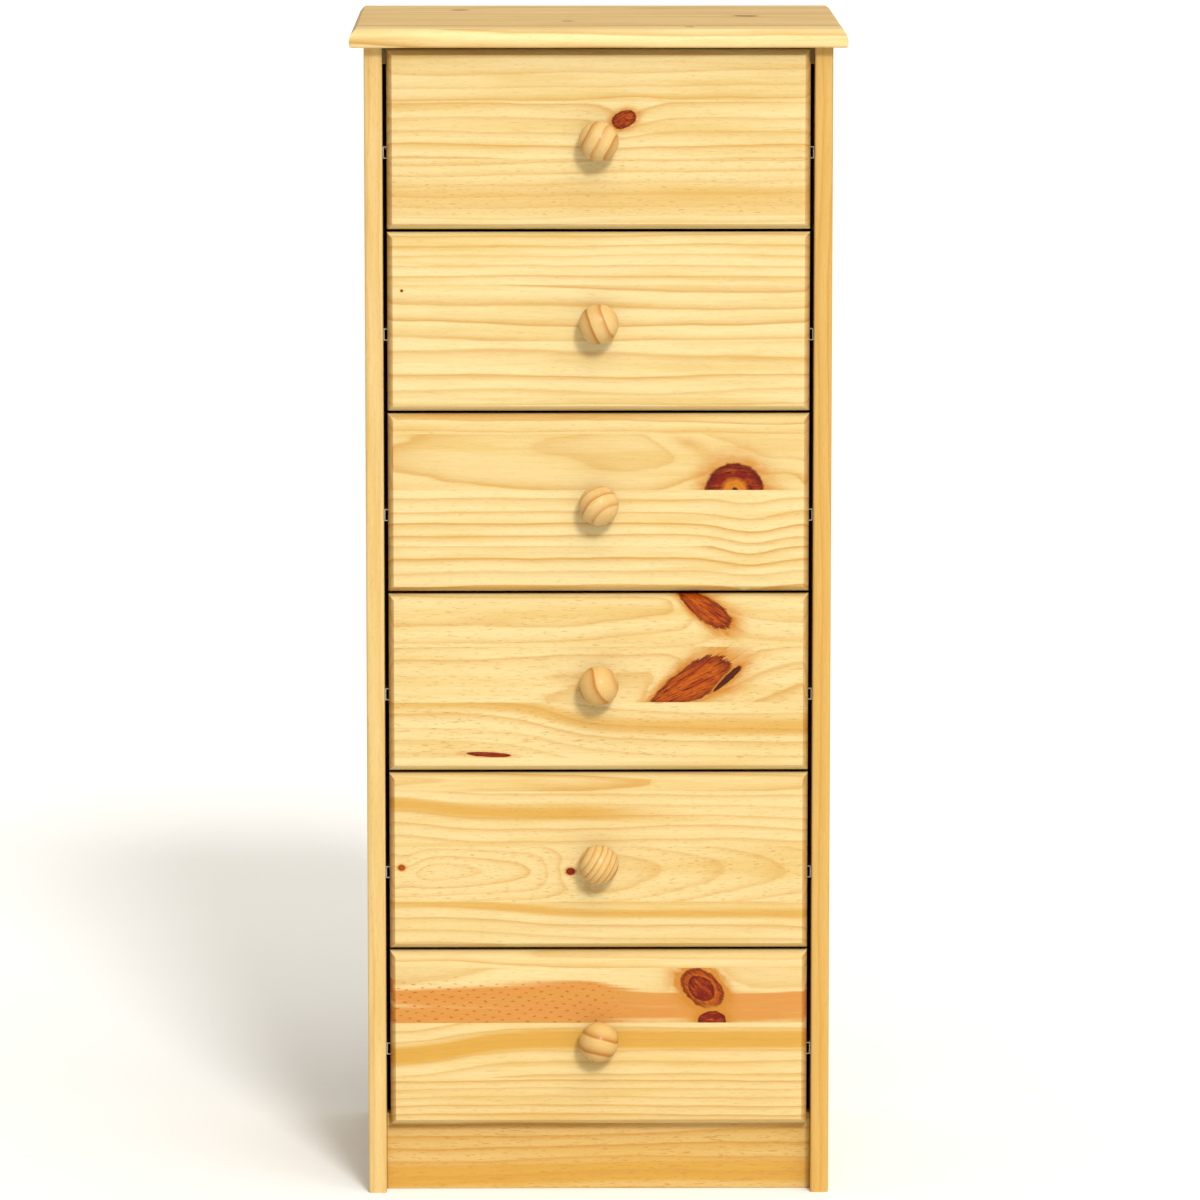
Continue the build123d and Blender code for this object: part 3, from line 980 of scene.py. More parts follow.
def make_piece(
    name: str, points: np.ndarray, faces: np.ndarray, material: bpy.types.Material
) -> bpy.types.Object:
    """Put quads or triangles into a mesh object at the origin.

    Args:
        name: Name of the piece.
        points: One row of X, Y and Z for each vertex, in metres.
        faces: One row of vertex numbers for each face. A triangle repeats its last number.
        material: Its finish.

    Returns:
        The new object.
    """
    kept = np.ones(faces.shape, bool)
    kept[:, 3] = faces[:, 2] != faces[:, 3]
    sizes = kept.sum(axis=1)
    corners = faces[kept]
    mesh = bpy.data.meshes.new(name)
    mesh.vertices.add(len(points))
    mesh.vertices.foreach_set("co", points.astype(np.float32).ravel())
    mesh.loops.add(len(corners))
    mesh.loops.foreach_set("vertex_index", corners.astype(np.int32))
    mesh.polygons.add(len(faces))
    mesh.polygons.foreach_set("loop_start", np.concatenate([[0], np.cumsum(sizes)[:-1]]).astype(np.int32))
    mesh.polygons.foreach_set("use_smooth", np.ones(len(faces), bool))
    mesh.update(calc_edges=True)
    mesh.validate()
    mesh.set_sharp_from_angle(angle=SHARP_EDGE)
    mesh.materials.append(material)
    piece = bpy.data.objects.new(name, mesh)
    bpy.context.scene.collection.objects.link(piece)
    return piece


def carry_staves(piece: bpy.types.Object, owners: np.ndarray, values: dict[str, np.ndarray]) -> None:
    """Write each stave's values on its faces.

    Args:
        piece: The board.
        owners: Number of the stave that each face belongs to.
        values: For each attribute name, one row for each stave.
    """
    for name, rows in values.items():
        layer = piece.data.attributes.new(name, "FLOAT_VECTOR", "FACE")
        layer.data.foreach_set("vector", rows[owners].astype(np.float32).ravel())


ARRIS = 0.35
BACK_ROUND = 0.8
LEAST_DEPTH = 0.06


@dataclass(frozen=True)
class Edge:
    """Section of a board's edge, as (inset, depth) pairs in millimetres from its face to its back."""

    points: tuple[tuple[float, float], ...]

    @staticmethod
    def arc(
        centre: tuple[float, float], radius: float, start: float, end: float, steps: int
    ) -> list[tuple[float, float]]:
        """Points on a circle.

        The inset is the centre's less the radius times the cosine of the angle, and the depth is the
        centre's less the radius times its sine, so 90 degrees is towards the face.

        Args:
            centre: Inset and depth of its centre.
            radius: Its radius.
            start: First angle, in degrees.
            end: Last angle, in degrees.
            steps: Number of runs between the points.

        Returns:
            The points in order.
        """
        angles = np.radians(np.linspace(start, end, steps + 1))
        insets = centre[0] - radius * np.cos(angles)
        depths = centre[1] - radius * np.sin(angles)
        return list(zip(insets.tolist(), depths.tolist()))

    @classmethod
    def bevelled(cls, inset: float, drop: float, bulge: float, thickness: float) -> "Edge":
        """Slightly full bevel between two fine arrises, with a small round at the back.

        A point at share s of the bevel lies at that share of its chord, plus 4 s (1 - s) times the
        bulge, at right angles to the chord.

        Args:
            inset: Width of the bevel, seen from the face.
            drop: Depth of the bevel.
            bulge: How full it is in its middle.
            thickness: Thickness of the board.

        Returns:
            The section.
        """
        share = np.linspace(0.0, 1.0, 8)
        chord = np.array([-inset, drop])
        normal = np.array([-drop, -inset]) / np.hypot(drop, inset)
        start = np.array([inset, 0.0])
        line = start + share[:, None] * chord + (4 * share * (1 - share) * bulge)[:, None] * normal
        line[:, 0] = np.maximum(line[:, 0], 0.0)
        line[:, 1] = np.maximum(line[:, 1], LEAST_DEPTH)
        points = [(inset + ARRIS, 0.0), *map(tuple, line.tolist()), (0.0, drop + ARRIS)]
        points += cls.arc((BACK_ROUND, thickness - BACK_ROUND), BACK_ROUND, 0.0, -90.0, 3)
        return cls(tuple(points))

    @classmethod
    def eased(cls, radius: float, thickness: float) -> "Edge":
        """Equal small rounds at the face and at the back.

        Args:
            radius: Radius of both rounds.
            thickness: Thickness of the board.

        Returns:
            The section.
        """
        near = cls.arc((radius, radius), radius, 90.0, 0.0, 5)
        far = cls.arc((radius, thickness - radius), radius, 0.0, -90.0, 5)
        return cls(((radius + 0.3, 0.0), *near, *far, (radius + 0.3, thickness)))

    @classmethod
    def nosed(cls, inset: float, drop: float, lower: float, thickness: float) -> "Edge":
        """Nosing that leaves the face at a crisp arris and curves down to upright, then a small round.

        The nose is an arc that is upright at its lower end, so its radius is half of the inset plus
        half of the drop squared over the inset.

        Args:
            inset: Width of the nose, seen from above.
            drop: Depth of the nose.
            lower: Radius of the round below it.
            thickness: Thickness of the board.

        Returns:
            The section.
        """
        radius = (inset**2 + drop**2) / (2 * inset)
        start = math.degrees(math.asin(drop / radius))
        nose = cls.arc((radius, drop), radius, start, 0.0, 10)
        under = cls.arc((lower, thickness - lower), lower, 0.0, -90.0, 5)
        return cls(((inset + 0.4, 0.0), (inset, 0.05), *nose[1:], *under))


FACE_COLUMNS = 12


@dataclass(frozen=True)
class Slab:
    """A board with the same edge section all round, or on some of its edges.

    Attributes:
        grain: How the board lies.
        low: Lowest corner, in metres.
        high: Highest corner, in metres.
        edge: Section of its edges.
        weights: Share of the section's inset at the low and high end of the grain, and at the low and
            high edge across it.
        seams: Places of the glue lines across the grain, in metres.
        rebate: Depth where a rebate along the high edge starts, and how far in it goes, in millimetres.
    """

    grain: Grain
    low: tuple[float, float, float]
    high: tuple[float, float, float]
    edge: Edge
    weights: tuple[float, float, float, float] = (1.0, 1.0, 1.0, 1.0)
    seams: tuple[float, ...] = ()
    rebate: tuple[float, float] | None = None

    def surface(self) -> tuple[np.ndarray, np.ndarray, np.ndarray]:
        """Points, faces and the stave of each face.

        The face and the back are grids over the length and the width. Between them, one loop of
        points for each pair of the section goes round the board: each loop is the outline, moved in
        by the inset and back by the depth.

        Returns:
            Points, faces with four vertex numbers each, and stave numbers.
        """
        along_axis, across_axis, depth_axis, sign = self.grain.value
        length = np.linspace(self.low[along_axis], self.high[along_axis], FACE_COLUMNS + 1)
        width = np.array([self.low[across_axis], *self.seams, self.high[across_axis]])
        across_steps = len(width) - 1
        outer = self.low[depth_axis] if sign > 0 else self.high[depth_axis]

        def grid(inset: float, depth: float) -> np.ndarray:
            """All points of the outline's grid at one pair of the section.

            Args:
                inset: How far in from the outline, in millimetres.
                depth: How far behind the face, in millimetres.

            Returns:
                Points by row and column.
            """
            lengths, widths = length.copy(), width.copy()
            lengths[0] += inset * MM * self.weights[0]
            lengths[-1] -= inset * MM * self.weights[1]
            widths[0] += inset * MM * self.weights[2]
            cut = self.rebate[1] if self.rebate and depth > self.rebate[0] else 0.0
            widths[-1] -= max(inset * self.weights[3], cut) * MM
            points = np.empty((len(width), len(length), 3))
            points[..., along_axis] = lengths[None, :]
            points[..., across_axis] = widths[:, None]
            points[..., depth_axis] = outer + sign * depth * MM
            return points

        numbers = np.arange(len(width) * len(length)).reshape(len(width), len(length))
        loop = np.concatenate([numbers[0, :-1], numbers[:-1, -1], numbers[-1, :0:-1], numbers[:0:-1, 0]])
        rows = np.arange(across_steps)
        loop_staves = np.concatenate([
            np.zeros(len(length) - 1, int), rows,
            np.full(len(length) - 1, across_steps - 1), rows[::-1],
        ])
        section = list(self.edge.points)
        if self.rebate:
            corner = [(0.0, self.rebate[0]), (0.0, self.rebate[0] + 0.02)]
            section = sorted(section + corner, key=lambda pair: pair[1])
        face_points = grid(*section[0]).reshape(-1, 3)
        back_points = grid(*section[-1]).reshape(-1, 3)
        rings = [grid(*pair).reshape(-1, 3)[loop] for pair in section[1:-1]]
        points = np.concatenate([face_points, *rings, back_points])
        back_start = len(points) - len(back_points)
        loops = [loop]
        loops += [len(face_points) + step * len(loop) + np.arange(len(loop)) for step in range(len(rings))]
        loops.append(loop + back_start)
        quads = np.stack([numbers[:-1, :-1], numbers[:-1, 1:], numbers[1:, 1:], numbers[1:, :-1]], -1)
        quads = quads.reshape(-1, 4)
        quad_staves = np.repeat(rows, len(length) - 1)
        faces, staves = [quads, quads[:, ::-1] + back_start], [quad_staves, quad_staves]
        for near, far in zip(loops[:-1], loops[1:]):
            faces.append(np.stack([near, far, np.roll(far, -1), np.roll(near, -1)], -1))
            staves.append(loop_staves)
        found = np.concatenate(faces)
        if self.inside_out():
            found = found[:, ::-1]
        return points, found, np.concatenate(staves)

    def inside_out(self) -> bool:
        """Whether the face's grid, as numbered, would point into the board.

        Returns:
            True where the faces have to be turned round.
        """
        along_axis, across_axis, depth_axis, sign = self.grain.value
        axes = np.eye(3)
        normal = np.cross(axes[along_axis], axes[across_axis])
        return bool(normal[depth_axis] * sign > 0)


# ------------------------------------------------------------------------------ sub-assemblies
def set_finish(node: str, material: bpy.types.Material) -> None:
    """Give a CAD node its finish.

    Args:
        node: Name of the node.
        material: The finish.
    """
    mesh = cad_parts[node].data
    mesh.materials.clear()
    mesh.materials.append(material)


def middle_of(node: str) -> tuple[float, float, float]:
    """Centre of a CAD node's box."""
    low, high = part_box(node)
    return tuple((low + high) / 2)


STAVE_WIDTH = 56.0


@dataclass(frozen=True)
class FrontLook:
    """Staves, from the top edge down, and knots of one drawer front."""

    first_seam: float
    staves: tuple[Stave, ...]
    knots: tuple[Knot, ...] = ()
    lattice: FleckLattice | None = None


FRONT_LOOKS = {
    1: FrontLook(
        51.4,
        (
            Stave(46, 26, 12.5, slope=0.03, wave=11, tone=0.14, contrast=0.62, flecks=0.3, seed=1.6),
            Stave(-120, 30, 14.0, wave=4, tone=0.06, contrast=0.90, flecks=0.3, seed=2.3),
            Stave(
                90, 20, 11.0, wave=5, tone=0.12, contrast=0.50, band=(-11, 15), band_strength=0.34,
                flecks=0.55, seed=3.2,
            ),
            Stave(60, 20, 7.0, wave=4, tone=0.08, contrast=0.42, seed=4.4),
        ),
        (Knot(25, 20, 12.5, 8.5, tilt=22, swell=12, reach=2.4, glow=0.34, halo=0.9, fringe=0.25),),
    ),
    2: FrontLook(
        51.5,
        (
            Stave(-150, 30, 10.5, wave=3, tone=0.03, contrast=0.85, flecks=0.2, seed=5.1),
            Stave(160, 20, 17.0, wave=3, tone=0.0, contrast=0.80, flecks=0.2, seed=6.7),
            Stave(-170, 30, 19.0, wave=3, tone=0.0, contrast=0.85, flecks=0.2, seed=7.9),
            Stave(90, 30, 8.0, wave=2, tone=0.05, contrast=0.60, seed=8.3),
        ),
        (Knot(-194.5, 31.5, 1.6, 1.4, swell=1.5, reach=2.5, halo=0.2),),
    ),
    3: FrontLook(
        19.5,
        (
            Stave(60, 25, 9.0, wave=4, tone=0.14, contrast=0.80, flecks=0.3, seed=9.6),
            Stave(
                18, 50, 11.0, slope=-0.07, wave=15, tone=0.22, contrast=0.66, bend=(40, 20, 90),
                flecks=0.2, seed=10.4,
            ),
            Stave(-110, 26, 12.0, wave=4, tone=0.03, contrast=0.85, flecks=0.3, seed=11.2),
            Stave(-140, 30, 14.0, wave=4, tone=0.06, contrast=0.90, flecks=0.3, seed=12.8),
        ),
        (
            Knot(
                135, 13.0, 29, 27, stave=2, heart=0.36, swell=18, reach=2.1, glow=0.06, ragged=0.2,
                halo=0.9,
            ),
            Knot(150, -40, 30, 40, swell=9, reach=1.1, buried=True),
            Knot(196, 34, 17, 34, stave=2, tilt=-30, swell=9, reach=1.3, buried=True),
            Knot(84, 62, 34, 12, stave=2, tilt=-20, swell=12, reach=1.1, buried=True),
        ),
    ),
    4: FrontLook(
        52.2,
        (
            Stave(20, 42, 11.0, slope=0.03, wave=12, tone=0.14, contrast=0.70, flecks=0.5, seed=13.5),
            Stave(-26, 52, 10.0, slope=-0.05, wave=13, tone=0.12, contrast=0.72, flecks=0.5, seed=14.1),
            Stave(
                -110, 30, 13.0, wave=4, tone=0.12, contrast=0.60, bend=(-48, -27, 48),
                band=(16.5, 9), band_strength=0.65, flecks=0.6, seed=15.7,
            ),
            Stave(100, 30, 9.0, wave=2, tone=0.0, contrast=0.5, seed=16.2),
        ),
        (
            Knot(
                105, 75, 31, 11, tilt=-34, stave=3, swell=13, reach=1.7, glow=0.50, taper=0.35,
                halo=1.1, fringe=0.45,
            ),
            Knot(
                91, -1, 45, 17, tilt=28, stave=2, swell=14, reach=1.5, glow=0.62, taper=0.45,
                halo=1.1, fringe=0.35,
            ),
            Knot(
                128, 4, 19, 3.2, tilt=43, stave=2, swell=0, glow=-0.8, taper=0.3, halo=1.2,
                ragged=0.5, fringe=0.5,
            ),
            Knot(
                -109, -72, 23, 2.4, tilt=-3, stave=1, swell=2, reach=2.0, glow=0.1, halo=0.6,
                ragged=0.5,
            ),
        ),
    ),
    5: FrontLook(
        17.6,
        (
            Stave(4, 20, 10.0, slope=0.05, wave=12, tone=0.26, contrast=0.75, seed=17.3),
            Stave(
                -100, 30, 11.0, wave=6, tone=0.16, contrast=0.70, bend=(-165, -9, 34),
                band=(10, 6.5), band_strength=0.75, band_end=40, flecks=0.4, seed=18.8,
            ),
            Stave(0, 24, 6.5, slope=0.11, wave=9, tone=0.20, contrast=0.65, flecks=0.7, seed=19.4),
            Stave(
                -90, 26, 12.0, wave=3, tone=0.18, contrast=0.60, bend=(-78, -13, 60), band=(18, 5),
                band_strength=0.65, flecks=0.3, seed=20.6,
            ),
        ),
        (
            Knot(-197, -6, 3.4, 2.8, swell=12, reach=6.0, stave=1, glow=0.6, halo=1.3, fringe=0.4),
            Knot(-28, -10, 4.6, 3.6, swell=12, reach=5.5, stave=1, glow=0.0, halo=1.0, fringe=0.4),
        ),
    ),
    6: FrontLook(
        16.7,
        (
            Stave(60, 26, 9.0, slope=-0.03, wave=9, tone=0.18, contrast=0.85, seed=21.2),
            Stave(
                30, 60, 18.0, slope=0.04, wave=9, tone=0.12, contrast=0.60, redness=0.9,
                bend=(5, -13, 45), band=(-18, 32), flecks=0.25, seed=22.5,
            ),
            Stave(
                -80, 30, 11.0, wave=2, tone=0.20, contrast=0.75, bend=(-140, 18.5, 48),
                band=(2, 9.3), band_strength=1.1, flecks=0.2, seed=23.9,
            ),
            Stave(-110, 22, 9.0, wave=4, tone=0.28, contrast=0.95, flecks=0.3, seed=24.3),
        ),
        (
            Knot(
                104, 51, 24, 17, tilt=-42, stave=2, swell=13, reach=1.6, glow=1.0, halo=1.7,
                fringe=0.2,
            ),
            Knot(103, 51, 15, 11, tilt=-42, stave=2, swell=0, glow=0.15, halo=0.0, fringe=0.2),
            Knot(114, 17, 14, 11, stave=2, swell=5, reach=1.8, glow=0.1, halo=1.6),
        ),
        FleckLattice(2),
    ),
}


@dataclass(frozen=True)
class DrawerFronts:
    """The six bevelled drawer fronts."""

    bevel_inset: float = 5.5
    bevel_drop: float = 9.0
    bevel_bulge: float = 0.55
    thickness: float = 18.0

    def build(self, number: int) -> bpy.types.Object:
        """Make one front, dress it and set it on its drawer.

        Args:
            number: Number of the drawer, from the top.

        Returns:
            The piece.
        """
        node = f"drawer_{number}_front"
        low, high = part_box(node)
        look = FRONT_LOOKS[number]
        seams = [high.z - (look.first_seam + STAVE_WIDTH * step) * MM for step in range(3)][::-1]
        slab = Slab(
            Grain.FRONT, tuple(low), tuple(high),
            Edge.bevelled(self.bevel_inset, self.bevel_drop, self.bevel_bulge, self.thickness),
            seams=tuple(seams),
        )
        points, faces, owners = slab.surface()
        staves = SetStaves(look.staves[::-1])
        centre = ((low.x + high.x) / 2, low.y, (low.z + high.z) / 2)
        finish = PineFinish(f"pine_front_{number}", Grain.FRONT, centre, staves, look.knots, look.lattice)
        piece = make_piece(f"bevelled_front_{number}", points, faces, finish.material())
        bounds = np.array([low.z, *seams, high.z])
        carry_staves(piece, owners, staves.values((bounds[1:] + bounds[:-1]) / 2))
        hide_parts(node)
        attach(piece, f"drawer_{number}")
        return piece


@dataclass(frozen=True)
class KnobLook:
    """How the year rings cross one knob.

    Attributes:
        turn: Angle of the ring lines from level, in degrees, rising to the right.
        pith: Distance of the log's centre from the knob's centre, across the lines, in millimetres.
        depth: Distance of the log's centre behind the knob's centre, in millimetres.
        spacing: Width of one ring, in millimetres.
        contrast: Strength of the lines.
        tone: Share of amber.
        seed: Number that sets the random detail.
    """

    turn: float
    pith: float
    depth: float
    spacing: float
    contrast: float
    tone: float
    seed: float


KNOB_LOOKS = {
    1: KnobLook(62, -52, 8, 13.0, 1.0, 0.42, 3.1),
    2: KnobLook(-68, -60, 6, 14.0, 1.2, 0.42, 4.2),
    3: KnobLook(38, 26, -6, 12.5, 0.9, 0.38, 5.3),
    4: KnobLook(-66, -48, 10, 15.0, 1.1, 0.50, 6.6),
    5: KnobLook(58, -66, 5, 5.6, 1.2, 0.42, 7.4),
    6: KnobLook(-14, 64, 6, 15.0, 1.2, 0.55, 8.9),
}


@dataclass(frozen=True)
class Knobs:
    """The six turned knobs."""

    radius: float = 19.75
    foot_radius: float = 12.0
    neck_round: float = 1.2
    around: int = 72
    ball_steps: int = 34
    palette: Palette = Palette(
        cream=(0.640, 0.480, 0.240), tan=(0.600, 0.405, 0.165), ring=(0.390, 0.165, 0.030)
    )

    def section(self, projection: float) -> np.ndarray:
        """Radius and height of the turned outline, from the foot to the tip, in millimetres.

        The foot is upright. A small hollow arc, which touches both, joins it to the ball: its centre
        lies one hollow radius outside the foot and one outside the ball.

        Args:
            projection: Height of the tip above the foot.

        Returns:
            One row of radius and height for each point.
        """
        ball = projection - self.radius
        out = self.foot_radius + self.neck_round
        reach = self.radius + self.neck_round
        drop = math.sqrt(reach**2 - out**2)
        turn = math.atan2(drop, out)
        hollow = np.linspace(math.pi, math.pi - turn, 6)
        neck = np.stack([
            out + self.neck_round * np.cos(hollow),
            ball - drop + self.neck_round * np.sin(hollow),
        ], -1)
        rise = np.linspace(-turn, math.pi / 2, self.ball_steps)[1:-1]
        globe = np.stack([self.radius * np.cos(rise), ball + self.radius * np.sin(rise)], -1)
        foot = np.array([[self.foot_radius - 0.4, 0.0], [self.foot_radius, 0.3]])
        return np.concatenate([foot, neck, globe])

    def build(self, number: int) -> bpy.types.Object:
        """Make one knob, dress it and set it on its drawer.

        A point of the surface is the outline's radius times the cosine and sine of the angle round
        the knob's axis, and the outline's height in front of the drawer.

        Args:
            number: Number of the drawer, from the top.

        Returns:
            The piece.
        """
        node = f"drawer_{number}_knob"
        low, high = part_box(node)
        centre = (low + high) / 2
        outline = self.section((high.y - low.y) / MM) * MM
        angles = np.linspace(0, 2 * math.pi, self.around, endpoint=False)
        points = np.empty((len(outline), self.around, 3))
        points[..., 0] = centre.x + outline[:, :1] * np.cos(angles)
        points[..., 1] = high.y - outline[:, 1:]
        points[..., 2] = centre.z + outline[:, :1] * np.sin(angles)
        ends = np.array([[centre.x, high.y, centre.z], [centre.x, low.y, centre.z]])
        numbers = np.arange(len(outline) * self.around).reshape(len(outline), self.around)
        turned = np.roll(numbers, -1, axis=1)
        walls = np.stack([numbers[:-1], turned[:-1], turned[1:], numbers[1:]], -1).reshape(-1, 4)
        hub = np.full(self.around, len(outline) * self.around)
        first = np.stack([turned[0], numbers[0], hub, hub], -1)
        last = np.stack([numbers[-1], turned[-1], hub + 1, hub + 1], -1)
        faces = np.concatenate([walls, first, last])
        points = np.concatenate([points.reshape(-1, 3), ends])
        finish = self.finish(number, tuple(centre))
        piece = make_piece(f"turned_knob_{number}", points, faces, finish)
        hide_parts(node)
        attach(piece, f"drawer_{number}")
        return piece

    def finish(self, number: int, centre: tuple[float, float, float]) -> bpy.types.Material:
        """Pine whose ring lines cross the knob at its own angle.

        A knob has no slope, band, bend or swell, and the lengths that they are divided by are 1.

        Args:
            number: Number of the drawer, from the top.
            centre: Middle of the knob, in metres.

        Returns:
            The material.
        """
        look = KNOB_LOOKS[number]
        made, graph, shader = new_material(f"pine_knob_{number}")
        x, y, z = graph.place()
        aside, above = graph.sub(x, centre[0]), graph.sub(z, centre[2])
        cos, sin = math.cos(math.radians(look.turn)), math.sin(math.radians(look.turn))
        inputs: dict[str, Value] = dict.fromkeys(FIGURE_INPUTS, 0.0)
        inputs.update(dict.fromkeys(("Band Half", "Bend Length", "Band End"), 1.0))
        inputs.update({
            "Along": graph.add(graph.mul(aside, cos), graph.mul(above, sin)),
            "Across": graph.sub(graph.mul(above, cos), graph.mul(aside, sin)),
            "Depth": graph.sub(y, centre[1]),
            "Pith Across": look.pith * MM,
            "Pith Depth": look.depth * MM,
            "Spacing": look.spacing * MM,
            "Wave": 3 * MM,
            "Seed": look.seed,
            "Tone": look.tone,
            "Contrast": look.contrast,
            "Flecks": 0.3,
        })
        figure = graph.node("Group", node_tree=PineFigure(self.palette, "turned_pine_figure").group())
        for name, value in inputs.items():
            graph.feed(figure.inputs[name], value)
        graph.feed(shader.inputs["Base Color"], figure.outputs["Colour"])
        graph.feed(shader.inputs["Roughness"], figure.outputs["Roughness"])
        lacquer(graph, shader, figure.outputs["Height"], 0.15 * MM)
        return made


BRIGHT_STEEL = ((0.42, 0.40, 0.36), (0.78, 0.76, 0.70))


@dataclass(frozen=True)
class DrawerBoxes:
    """Sides, backs, bottoms and fixings of the six drawers."""

    def dress(self) -> None:
        """Give each node of the boxes its finish."""
        steel = SteelFinish("bright_screw", *BRIGHT_STEEL).material()
        sheet = HardboardFinish("drawer_hardboard", (0.150, 0.085, 0.043), (0.280, 0.170, 0.090)).material()
        beech = BeechFinish("drawer_dowels").material()
        for number in DRAWERS:
            seed = 40.0 + 3.1 * number
            look = RolledStaves(
                seed, width=400.0, first=-40.0, tone=(0.0, 0.12), spacing=(5.0, 9.0), flecks=0.2
            )
            for side in ("left", "right"):
                node = f"drawer_{number}_side_{side}"
                knots = self.box_knots(seed)
                finish = PineFinish(f"pine_{node}", Grain.DRAWER_SIDE, middle_of(node), look, knots)
                set_finish(node, finish.material())
            node = f"drawer_{number}_back"
            set_finish(node, PineFinish(f"pine_{node}", Grain.BACK, middle_of(node), look).material())
            set_finish(f"drawer_{number}_bottom", sheet)
            set_finish(f"drawer_{number}_knob_screw", steel)
            set_finish(f"drawer_{number}_dowels", beech)
            log.info("drawer %d box dressed", number)

    def box_knots(self, seed: float) -> tuple[Knot, ...]:
        """One or two small knots, placed by the seed.

        Args:
            seed: Number that sets the draw.

        Returns:
            The knots.
        """
        draw = np.random.default_rng(int(seed * 10))
        count = int(draw.integers(1, 3))
        return tuple(
            Knot(
                float(draw.uniform(-140, 140)), float(draw.uniform(-45, 45)),
                float(draw.uniform(4, 9)), float(draw.uniform(4, 7)),
                float(draw.uniform(-30, 30)), heart=0.2, swell=7,
            )
            for _ in range(count)
        )


@dataclass(frozen=True)
class SideLook:
    """Lie, random seed, amber range and extra amber of the front stave of one side board."""

    grain: Grain
    seed: float
    tone: tuple[float, float]
    first_extra: float


SIDE_LOOKS = {
    "left": SideLook(Grain.LEFT_SIDE, 71.0, (0.15, 0.40), 0.25),
    "right": SideLook(Grain.RIGHT_SIDE, 83.0, (0.30, 0.60), 0.38),
}


